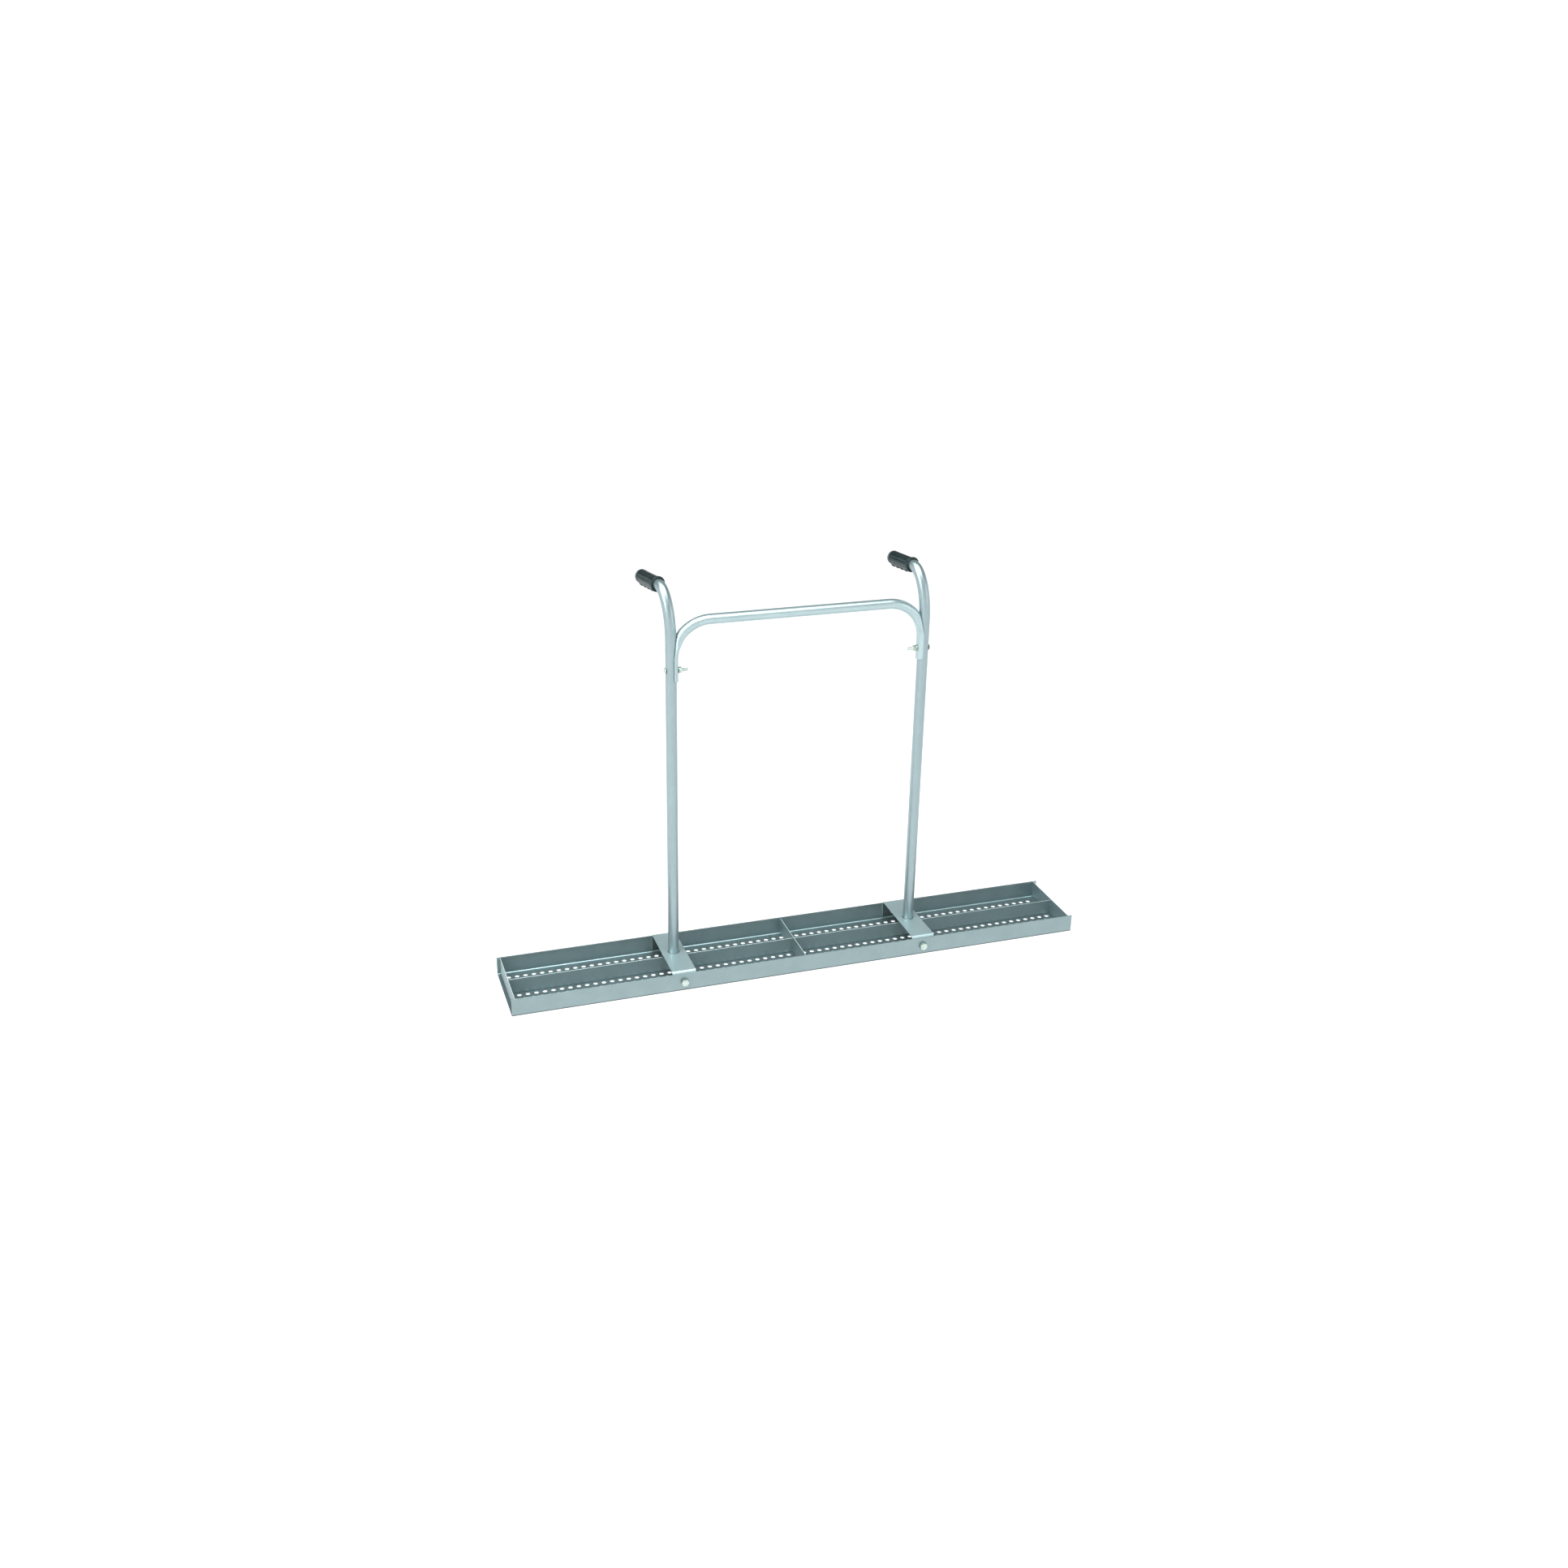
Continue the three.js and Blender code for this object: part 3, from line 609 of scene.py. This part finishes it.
def slab(name, outline, span, axis, node):
    """A flat plate: an outline in the other two axes, carried from one side of its thickness to the
    other. Axis is the thickness direction, 0 for X and 1 for Y. The top face is a painted highlight."""
    outline = np.asarray(outline, float)
    count = len(outline)
    layers = np.repeat(np.asarray(span, float), count)[:, None]
    flat = np.tile(outline, (2, 1))
    points = np.insert(flat, [axis], layers, axis=1)
    lid = np.arange(count)[None]
    rim = grid_quads(2, count, close_columns=True)
    # The top faces get the light finish, as a painted highlight.
    on_top = np.isclose(points[rim][:, :, 2], outline[:, 1].max()).all(1)
    faces = [rim[~on_top], rim[on_top], np.concatenate([lid, lid[:, ::-1] + count])]
    piece(name, points, faces, STRIP_FINISH, 40, replaced=(node,), edge=PLATE_EDGE,
          cut=PAINTED_HIGHLIGHT_EDGE)


def cross_plate(name, box, node):
    """A plate across the tray whose lower corners are rounded to follow the folds."""
    y, low, high = box[1, 1], box[0, 2], box[1, 2]
    turn = np.linspace(0, np.pi / 2, 5)
    right = np.stack([y - PLATE_CORNER + PLATE_CORNER * np.sin(turn),
                      low + PLATE_CORNER - PLATE_CORNER * np.cos(turn)], 1)
    left = right[::-1] * (-1, 1)
    outline = np.concatenate([left, right, [(y, high), (-y, high)]])
    slab(name, outline, box[:, 0], 0, node)


def tray_plates():
    """The end plates, the cross divider and the two centre ribs."""
    for label in ("left", "right"):
        cross_plate(f"end_plate_{label}_welded", corner(f"end_plate_{label}"), f"end_plate_{label}")
        (x0, y0, z0), (x1, y1, z1) = corner(f"centre_rib_{label}")
        outline = [(x0, z0), (x1, z0), (x1, z1), (x0, z1)]
        slab(f"rib_{label}_welded", outline, (y0, y1), 1, f"centre_rib_{label}")
    cross_plate("divider_welded", DIVIDER, "cross_divider")


# ---- welds ----
def bead(start, end, phase):
    """A weld bead: circles carried from start to end, drawn in at both ends as a rounded blob, with
    ripples 1.6 mm apart and a slow wobble in thickness, which starts at the phase."""
    start, end = np.asarray(start, float), np.asarray(end, float)
    length = np.linalg.norm(end - start)
    rows = max(14, int(length / (0.35 * MM)))
    t = 0.5 - 0.5 * np.cos(np.linspace(0, np.pi, rows))
    body = np.sqrt(np.clip(1 - (2 * t - 1) ** 6, 0, 1))
    ripple = 1 + 0.10 * np.sin(t * length / (1.6 * MM) * 2 * np.pi) + 0.14 * np.sin(9 * t + phase)
    rings = revolve(WELD_RADIUS * body * ripple, t * length, 12)
    points, faces = capped_rings(rings)
    return laid(points, start, (end - start) / length), faces


def tray_welds():
    """Weld beads where the end plates and the divider meet the walls, and where the ribs meet
    them."""
    y = HALF_WIDTH - SHEET - 0.3 * MM
    foot = SHEET + 6 * MM
    beads = []
    for side in (-1, 1):
        inner_face, outer_face = side * END_PLATE[0, 0], side * END_PLATE[1, 0]
        for wall in (-1, 1):
            runs = [(inner_face, 4 * MM, WALL_TOP - 6 * MM),
                    (outer_face, 30 * MM, WALL_TOP - 4 * MM)]
            for x, low, high in runs:
                beads.append(bead((x, wall * y, SHEET + low), (x, wall * y, high), x + wall))
        for flank in (-1, 1):
            rib_y = flank * RIB[1, 1]
            for x in (inner_face, side * DIVIDER[1, 0]):
                beads.append(bead((x, rib_y, foot), (x, rib_y, RIB[1, 2] - 1 * MM), flank + x))
    for x in DIVIDER[:, 0]:
        for wall in (-1, 1):
            high = DIVIDER[1, 2] - 1 * MM
            beads.append(bead((x, wall * y, foot), (x, wall * y, high), x + wall))
    points, faces = joined(beads)
    piece("tray_welds", points, faces, WELD_FINISH, 80)


def foot_weld(side, label):
    """The fillet round an upright's foot: a small circle carried round the tube, rippled as it
    goes."""
    around, section = turns(144), turns(12)
    ripple = 1 + 0.06 * np.cos(52 * around) + 0.07 * np.sin(3 * around)
    size = WELD_RADIUS * ripple[:, None]
    reach = TUBE_RADIUS + 0.2 * MM + size * np.cos(section)
    height = BRACKET[1, 2] + 0.1 * MM + size * np.sin(section)
    x = side * UPRIGHT_X + reach * np.cos(around)[:, None]
    y = reach * np.sin(around)[:, None]
    points, faces = looped_rings(np.stack([x, y, height], -1))
    piece(f"foot_weld_{label}", points, faces, WELD_FINISH, 80)


# ---- uprights, grips and crossbar ----
HANDLE = np.array([-math.sin(HANDLE_TURN), math.cos(HANDLE_TURN), 0.0])
ACROSS = np.cross(HANDLE, (0.0, 0.0, 1.0))
UP = np.array([0.0, 0.0, 1.0])


def upright_path():
    """Points and upward normals along an upright: straight up, then a quarter ellipse that rises and
    reaches out along the handle's direction, then straight into the grip."""
    straight, bent = 12, 48
    a = np.linspace(0, np.pi / 2, bent)
    rise = BEND_TOP - BEND_START
    reach = np.concatenate([np.zeros(straight), BEND_REACH * (1 - np.cos(a)),
                            [BEND_REACH + GRIP_LENGTH - GRIP_SOLID_END]])
    height = np.concatenate([np.linspace(UPRIGHT[0, 2], BEND_START, straight + 1)[:-1],
                             BEND_START + rise * np.sin(a), [BEND_TOP]])
    slope = np.concatenate([np.full(straight, np.pi / 2),
                            np.arctan2(rise * np.cos(a), BEND_REACH * np.sin(a)), [0.0]])
    centre = reach[:, None] * HANDLE + height[:, None] * UP
    normal = -np.sin(slope)[:, None] * HANDLE + np.cos(slope)[:, None] * UP
    return centre, normal


def upright(side, label):
    """A tube with a wall: circles of the outer radius carried along the path, then circles of the
    bore carried back, joined at both ends."""
    centre, normal = upright_path()
    angle = turns(56)[None, :, None]
    spoke = normal[:, None] * np.cos(angle) + ACROSS * np.sin(angle)
    outer = centre[:, None] + TUBE_RADIUS * spoke
    bore = centre[:, None] + (TUBE_RADIUS - TUBE_WALL) * spoke
    points, faces = looped_rings(np.concatenate([outer, bore[::-1]]))
    points = points + (side * UPRIGHT_X, 0, 0)
    piece(f"upright_tube_{label}", points, faces, TUBE_FINISH, 50,
          replaced=(f"upright_{label}",))


def smooth(value, start, end):
    """0 before start, 1 after end, and an S-shaped rise between them."""
    t = np.clip((value - start) / (end - start), 0, 1)
    return t * t * (3 - 2 * t)


def grip_radius(s, angle):
    """Distance of the grip's skin from its axis, by place along it and angle from its upper side. A
    rounded collar, a shallow groove, then a body with eight soft flats, which fade before the dome,
    and finger ridges that swell out of its underside."""
    collar = GRIP_COLLAR - 1.3 * MM * np.clip(np.abs(2 * s / COLLAR_LENGTH - 1), 0, 1) ** 5
    neck = GRIP_BODY - 0.9 * MM * np.exp(-(((s - 7.5 * MM) / (1.6 * MM)) ** 2))
    flats = np.abs(np.sin(4 * angle)) ** 4 * smooth(np.cos(angle), -0.75, -0.35)
    shown = smooth(s, 8 * MM, 13 * MM) * (1 - smooth(s, DOME_START - 7 * MM, DOME_START))
    body = np.where(s < COLLAR_LENGTH, collar, neck) - 1.0 * MM * flats * shown
    t = np.clip((s - DOME_START) / (GRIP_LENGTH - DOME_START), 0, 1)
    body = body * np.sqrt(np.clip(1 - t**2.4, 0, 1))
    under = np.clip(1 - ((angle - np.pi) / 0.62) ** 2, 0, 1)
    for i in range(RIDGES):
        offset = s - RIDGE_START - i * RIDGE_PITCH
        near = np.clip(1 - (offset / RIDGE_HALF_LENGTH) ** 2, 0, 1)
        body = body + RIDGE_HEIGHT * (near * under) ** 0.7 * (1 - t)
    return body


def grip(side, label):
    """A rubber sleeve closed at its far end: the bore from its inner end out to the collar, then the
    outer skin from the collar to the dome, as circles whose radius is grip_radius."""
    sides = 128
    angle = turns(sides)
    collar_rows = np.linspace(0, COLLAR_LENGTH, 12)
    body_rows = np.linspace(COLLAR_LENGTH + 0.05 * MM, DOME_START, 130)
    dome_turn = np.linspace(0, np.pi / 2, 26)[1:-1]
    dome_rows = DOME_START + (GRIP_LENGTH - DOME_START) * np.sin(dome_turn)
    along = np.concatenate([collar_rows, body_rows, dome_rows])
    skin = grip_radius(along[:, None], angle[None, :])
    lip = 0.8 * MM
    bore_s = np.array([GRIP_LENGTH - GRIP_SOLID_END, lip, 0.0])
    bore_r = np.array([GRIP_BORE, GRIP_BORE, GRIP_BORE + lip])
    s = np.concatenate([bore_s, along])
    radius = np.concatenate([np.broadcast_to(bore_r[:, None], (len(bore_r), sides)), skin])
    spoke = UP * np.cos(angle)[:, None] + ACROSS * np.sin(angle)[:, None]
    points, faces = capped_rings(s[:, None, None] * HANDLE + radius[..., None] * spoke)
    mouth = HANDLE * (BEND_REACH + 0.3 * MM) + UP * BEND_TOP + (side * UPRIGHT_X, 0, 0)
    sleeve = piece(f"grip_sleeve_{label}", points + mouth, faces, GRIP_FINISH, 70,
                   replaced=(f"grip_{label}",))
    # The rounded end is coloured a lighter grey.
    lighter_end = smooth(points @ HANDLE, GRIP_LENGTH - 17 * MM, GRIP_LENGTH - 10 * MM)
    grey_end = sleeve.data.attributes.new("grey_end", "FLOAT", "POINT")
    grey_end.data.foreach_set("value", lighter_end)


def bar_section(flatness, half, sides):
    """Cross-section of the crossbar in (n, y), n pointing away from the upright. A flat round-ended
    strip is curved round the upright: flatness 1 is the pressed saddle and 0 the round tube."""
    thick = BAR_RADIUS + (SADDLE_THICKNESS / 2 - BAR_RADIUS) * flatness
    straight = BAR_RADIUS + (half - BAR_RADIUS) * flatness - thick
    bow = max(flatness / SADDLE_MID, 0.1)
    shift = (SADDLE_MID - BAR_LEG_OFFSET) * flatness
    a = turns(sides) + np.pi / sides
    along = thick * np.sin(a) + straight * np.clip(1.5 * np.sin(a), -1, 1)
    radius = 1 / bow + thick * np.cos(a)
    return shift + radius * np.cos(along * bow) - 1 / bow, radius * np.sin(along * bow)


def crossbar_rings(sides):
    """Rings along the left half of the bar, from the saddle's lower edge to the middle. The saddle
    narrows to rounded corners at the bottom, opens into the round tube round the bend, and where the
    section would enter the upright its points are pushed straight out to the upright's skin."""
    leg_x = -UPRIGHT_X + BAR_LEG_OFFSET
    bottom = SADDLE[0, 2]
    bend_z = BAR_TOP - BAR_BEND
    open_end = bend_z + BAR_BEND * math.sin(math.pi / 4)
    corner_turn = np.linspace(0, np.pi / 2, 9)
    corner_z = bottom + SADDLE_CORNER * (1 - np.cos(corner_turn))
    corner_half = SADDLE_HALF_WIDTH - SADDLE_CORNER * (1 - np.sin(corner_turn))
    a = np.linspace(0, np.pi / 2, 56)
    straight_z = np.linspace(corner_z[-1], bend_z, 8)[1:-1]
    z = np.concatenate([corner_z, straight_z, bend_z + BAR_BEND * np.sin(a)])
    leg = len(corner_z) + len(straight_z)
    x = leg_x + np.concatenate([np.zeros(leg), BAR_BEND * (1 - np.cos(a))])
    slope = np.concatenate([np.full(leg, np.pi / 2), np.pi / 2 - a])
    half = np.concatenate([corner_half, np.full(len(z) - len(corner_z), SADDLE_HALF_WIDTH)])
    flatness = 1 - smooth(z, SADDLE_TOP, open_end)
    rings = []
    for x0, z0, tilt, flat, wide in zip(x, z, slope, flatness, half):
        n, y = bar_section(flat, wide, sides)
        rings.append(np.stack([x0 + n * math.sin(tilt), y, z0 - n * math.cos(tilt)], 1))
    rings = np.array(rings)
    lean = np.clip((rings[..., 2] - BEND_START) / (BEND_TOP - BEND_START), 0, 1)
    reach = BEND_REACH * (1 - np.sqrt(1 - lean**2))
    axis_x = -UPRIGHT_X + reach * HANDLE[0]
    axis_y = reach * HANDLE[1]
    away_x, away_y = rings[..., 0] - axis_x, rings[..., 1] - axis_y
    distance = np.hypot(away_x, away_y)
    soft = 0.4 * MM
    gap = distance - SADDLE_INNER
    pushed = SADDLE_INNER + 0.5 * (gap + np.sqrt(gap**2 + soft**2))
    grow = pushed / np.maximum(distance, 1e-6)
    rings[..., 0] = axis_x + away_x * grow
    rings[..., 1] = axis_y + away_y * grow
    return rings


def crossbar():
    """The bar's left half and its mirror image, closed at each saddle's edge by quads across it."""
    sides = 64
    left = crossbar_rings(sides)
    rings = np.concatenate([left, left[::-1] * (-1, 1, 1)])
    count = len(rings)
    near = np.arange(-sides // 4, sides // 4 - 1)
    far = sides // 2 - 1 - near
    cap = np.stack([near, near + 1, far - 1, far], 1) % sides
    end_cap = cap[:, ::-1] + (count - 1) * sides
    faces = [np.concatenate([grid_quads(count, sides, close_columns=True), cap, end_cap])]
    piece("crossbar_tube", rings.reshape(-1, 3), faces, BAR_FINISH, 60,
          replaced=("crossbar",))


# ---- fasteners ----
def hex_radius(flats, angle):
    """Distance from the axis to a hexagon's edge: half the flats over the cosine of the angle from
    the middle of the nearest flat."""
    from_flat = (angle + np.pi / 6) % (np.pi / 3) - np.pi / 6
    return flats / 2 / np.cos(from_flat)


def hex_rings(flats, height, chamfer_high):
    """Rings up a hexagon whose corners are cut by a 30 degree cone at the low end, and at the high
    end too if asked."""
    start = CHAMFER_START * flats
    depth = (flats / math.sqrt(3) - start) * CHAMFER_SLOPE
    z = np.concatenate([np.linspace(0, depth, 6), [height / 2],
                        np.linspace(height - depth, height, 6)])
    radius = np.minimum(hex_radius(flats, turns(HEX_SIDES)), start + z[:, None] / CHAMFER_SLOPE)
    if chamfer_high:
        radius = np.minimum(radius, start + (height - z[:, None]) / CHAMFER_SLOPE)
    return revolve(radius, z, HEX_SIDES)


def thread_rings(radius, pitch, length):
    """A screw thread: the radius falls and rises once each pitch, and the phase turns with the angle,
    so the crests climb as a helix. The end tapers off over its last pitch."""
    z = np.linspace(0, length, int(length / pitch * 6) + 1)
    phase = (z[:, None] / pitch - turns(THREAD_SIDES)[None, :] / (2 * np.pi)) % 1
    depth = 0.54 * pitch * np.abs(2 * phase - 1)
    taper = 0.12 * radius * smooth(z, length - pitch, length)[:, None]
    return revolve(radius - depth - taper, z, THREAD_SIDES)


def ring_shape(outer, bore, low, high):
    """A flat ring with rounded rims: up the outside, in over the top, down the bore and back."""
    round_off = 0.22 * (high - low)
    turn = np.linspace(0, np.pi / 2, 4)
    out, along = round_off * (1 - np.sin(turn)), round_off * (1 - np.cos(turn))
    outer_low = np.stack([outer - out, low + along], 1)
    outer_high = np.stack([outer - along, high - out], 1)
    inner = np.array([(bore + round_off, high), (bore, high - round_off),
                      (bore, low + round_off), (bore + round_off, low)])
    profile = np.concatenate([outer_low, outer_high, inner])
    return looped_rings(revolve(profile[:, 0], profile[:, 1], 64))


def nut_shape(flats, bore, height):
    """A hexagon nut: chamfered hexagon outside, a countersunk bore inside."""
    outside = hex_rings(flats, height, True)
    sink = 0.6 * MM
    inside = revolve([bore + sink, bore, bore, bore + sink], [height, height - sink, sink, 0],
                     HEX_SIDES)
    return looped_rings(np.concatenate([outside, inside]))


def fastener(name, parts, centre, direction, finish, node, body=BODY):
    """Places shapes made along +Z on the fastener's axis."""
    points, faces = joined(parts)
    piece(name, laid(points, centre, direction), faces, finish, 28,
          body=body, replaced=(node,))


def flange_fixings():
    """Each bracket flange's bolt, washer and nut: a chamfered hexagon head outside the wall, a thread
    through wall and flange, and a nut inside."""
    head_out, bolt_in = FLANGE_BOLT[:, 1]
    head_seat = FLANGE_WASHER[0, 1] - HEAD_GAP
    height = head_seat - head_out
    head = hex_rings(M10_FLATS, height, False) - (0, 0, height)
    shank = thread_rings(M10_RADIUS, M10_PITCH, bolt_in - head_seat)
    (washer_left, washer_out, _), (washer_right, washer_in, _) = FLANGE_WASHER
    washer = ring_shape((washer_right - washer_left) / 2, M10_RADIUS + WASHER_PLAY, 0,
                        washer_in - washer_out)
    nut_out, nut_in = FLANGE_NUT[:, 1]
    nut = nut_shape(M10_FLATS, M10_RADIUS - 0.4 * MM, nut_in - nut_out)
    for side, label in ((-1, "left"), (1, "right")):
        for face, place in ((-1, "front"), (1, "rear")):
            name = f"{label}_{place}"
            inward = (0, -face, 0)
            seats = [(side * UPRIGHT_X, -face * y, FLANGE_BOLT_Z)
                     for y in (head_seat, washer_out, nut_out)]
            turned = math.radians(11 + 17 * side * face)
            spin = np.array(Matrix.Rotation(turned, 3, "Z"))
            bolt = [capped_rings(head @ spin.T), capped_rings(shank)]
            fastener(f"hex_bolt_{name}", bolt, seats[0], inward, ZINC_FINISH,
                     f"bracket_bolt_{name}")
            # The washers get the dark plating, as painted shade.
            fastener(f"flat_washer_{name}", [washer], seats[1], inward, SHADED_WASHER_FINISH,
                     f"bracket_washer_{name}")
            fastener(f"hex_nut_{name}", [nut], seats[2], inward, ZINC_FINISH,
                     f"bracket_nut_{name}")


def domed_head():
    """A round domed bolt head on a short straight rim. Over a quarter turn the dome's radius falls
    as a power of the cosine and its height rises as a power of the sine."""
    rim = (SADDLE_BOLT[1, 2] - SADDLE_BOLT[0, 2]) / 2
    break_edge, rim_height = 0.3 * MM, 0.8 * MM
    turn = np.linspace(0, np.pi / 2, 22)[:-1]
    radius = np.concatenate([[rim - break_edge, rim], rim * np.cos(turn) ** 0.8])
    dome = rim_height + (DOME_HEIGHT - rim_height) * np.sin(turn) ** 1.25
    return revolve(radius, -np.concatenate([[0, break_edge], dome]), 64)


def saddle_fixings():
    """Each saddle's domed bolt through the upright, with a washer and a hexagon nut on the inner
    side. The washer and nut ride on their own bodies, because they run along the thread."""
    seat = UPRIGHT_X + TUBE_RADIUS + HEAD_GAP
    shank = thread_rings(M8_RADIUS, M8_PITCH, seat - SADDLE_BOLT[0, 0])
    bolt = [capped_rings(domed_head()), capped_rings(shank)]
    washer_in, washer_out = SADDLE_WASHER[:, 0]
    washer = ring_shape(8 * MM, M8_RADIUS + WASHER_PLAY, 0, washer_out - washer_in)
    nut_in, nut_out = SADDLE_NUT[:, 0]
    nut = nut_shape(M8_FLATS, M8_RADIUS - 0.1 * MM, nut_out - nut_in)
    for side, label in ((-1, "left"), (1, "right")):
        inward = (-side, 0, 0)
        bolt_at, washer_at, nut_at = [(side * x, 0, SADDLE_BOLT_Z)
                                      for x in (seat, washer_out, nut_out)]
        fastener(f"domed_bolt_{label}", bolt, bolt_at, inward, ZINC_FINISH,
                 f"saddle_bolt_{label}")
        fastener(f"thin_washer_{label}", [washer], washer_at, inward, ZINC_FINISH,
                 f"saddle_washer_{label}", body=f"{label}_washer")
        fastener(f"hand_nut_{label}", [nut], nut_at, inward, ZINC_FINISH,
                 f"saddle_nut_{label}", body=f"{label}_nut")


# ---- studio ----
FLOOR_GLOW = 0.93
SURROUND = 0.25
LIGHT_AIM = (0, 0, 0.5)
LIGHTS = (
    ("overhead_softbox", (-0.5, -1.3, 4.4), (4.4, 3.0), 230.0, (0.97, 1.0, 1.0)),
    ("key_softbox", (-4.2, -2.2, 3.4), (3.0, 3.0), 190.0, (1.0, 1.0, 1.0)),
    ("fill_softbox", (3.6, -3.4, 2.2), (2.0, 2.4), 25.0, (0.97, 1.0, 1.0)),
)


def studio():
    """A round pale floor that curves up into a low wall all the way round, soft lights and an even
    surround. Floor and wall are one profile turned about Z."""
    flat, rise, wall_top = 10.0, 2.6, 4.2
    rows, sides = 14, 72
    turn = np.linspace(0, np.pi / 2, 16)[1:]
    radius = np.concatenate([np.linspace(0, flat, rows), flat + rise * np.sin(turn), [flat + rise]])
    height = np.concatenate([np.zeros(rows), rise * (1 - np.cos(turn)), [wall_top]])
    points = revolve(radius, height, sides).reshape(-1, 3)
    mesh = bpy.data.meshes.new("studio_sweep")
    quads = grid_quads(len(radius), sides, close_columns=True)[:, ::-1]
    mesh.from_pydata(points.tolist(), [], quads.tolist())
    mesh.shade_smooth()
    sweep = bpy.data.objects.new("studio_sweep", mesh)
    bpy.context.collection.objects.link(sweep)
    paper = (*grey(0.25), 1)
    material, _, shader = new_shader("pale_paper", Roughness=0.95, Base_Color=paper)
    shader.inputs["Emission Color"].default_value = (1.0, 1.0, 1.0, 1.0)
    shader.inputs["Emission Strength"].default_value = FLOOR_GLOW
    mesh.materials.append(material)
    world = bpy.data.worlds.new("surround")
    world.use_nodes = True
    background = world.node_tree.nodes["Background"]
    background.inputs["Color"].default_value = (0.95, 1.0, 1.0, 1)
    background.inputs["Strength"].default_value = SURROUND
    bpy.context.scene.world = world
    for name, place, size, power, shade in LIGHTS:
        light = bpy.data.lights.new(name, "AREA")
        light.shape = "RECTANGLE"
        light.size, light.size_y = size
        light.energy = power
        light.color = shade
        lamp = bpy.data.objects.new(name, light)
        aim = Vector(LIGHT_AIM) - Vector(place)
        turn = aim.to_track_quat("-Z", "Y").to_matrix().to_4x4()
        lamp.matrix_world = Matrix.Translation(place) @ turn
        bpy.context.collection.objects.link(lamp)


CAMERA_PLACE = (-1.2443, -3.4975, 2.0957)
CAMERA_TURN = (66.419, -1.106, -18.605)     # degrees about X, Y and Z, from looking straight down
CAMERA_LENS = 37.457


def camera():
    """The view from the front left, above the grips, with a mild lens."""
    data = bpy.data.cameras.new("view")
    data.sensor_width = 36.0
    data.lens = CAMERA_LENS
    eye = bpy.data.objects.new("view", data)
    eye.location = CAMERA_PLACE
    eye.rotation_euler = [math.radians(angle) for angle in CAMERA_TURN]
    bpy.context.collection.objects.link(eye)
    bpy.context.scene.camera = eye


def build():
    tray_sheet()
    tray_plates()
    tray_welds()
    for side, label in ((-1, "left"), (1, "right")):
        bracket(side, label)
        foot_weld(side, label)
        upright(side, label)
        grip(side, label)
    crossbar()
    flange_fixings()
    saddle_fixings()
    studio()
    camera()
    bpy.context.scene.view_settings.view_transform = "Standard"


build()
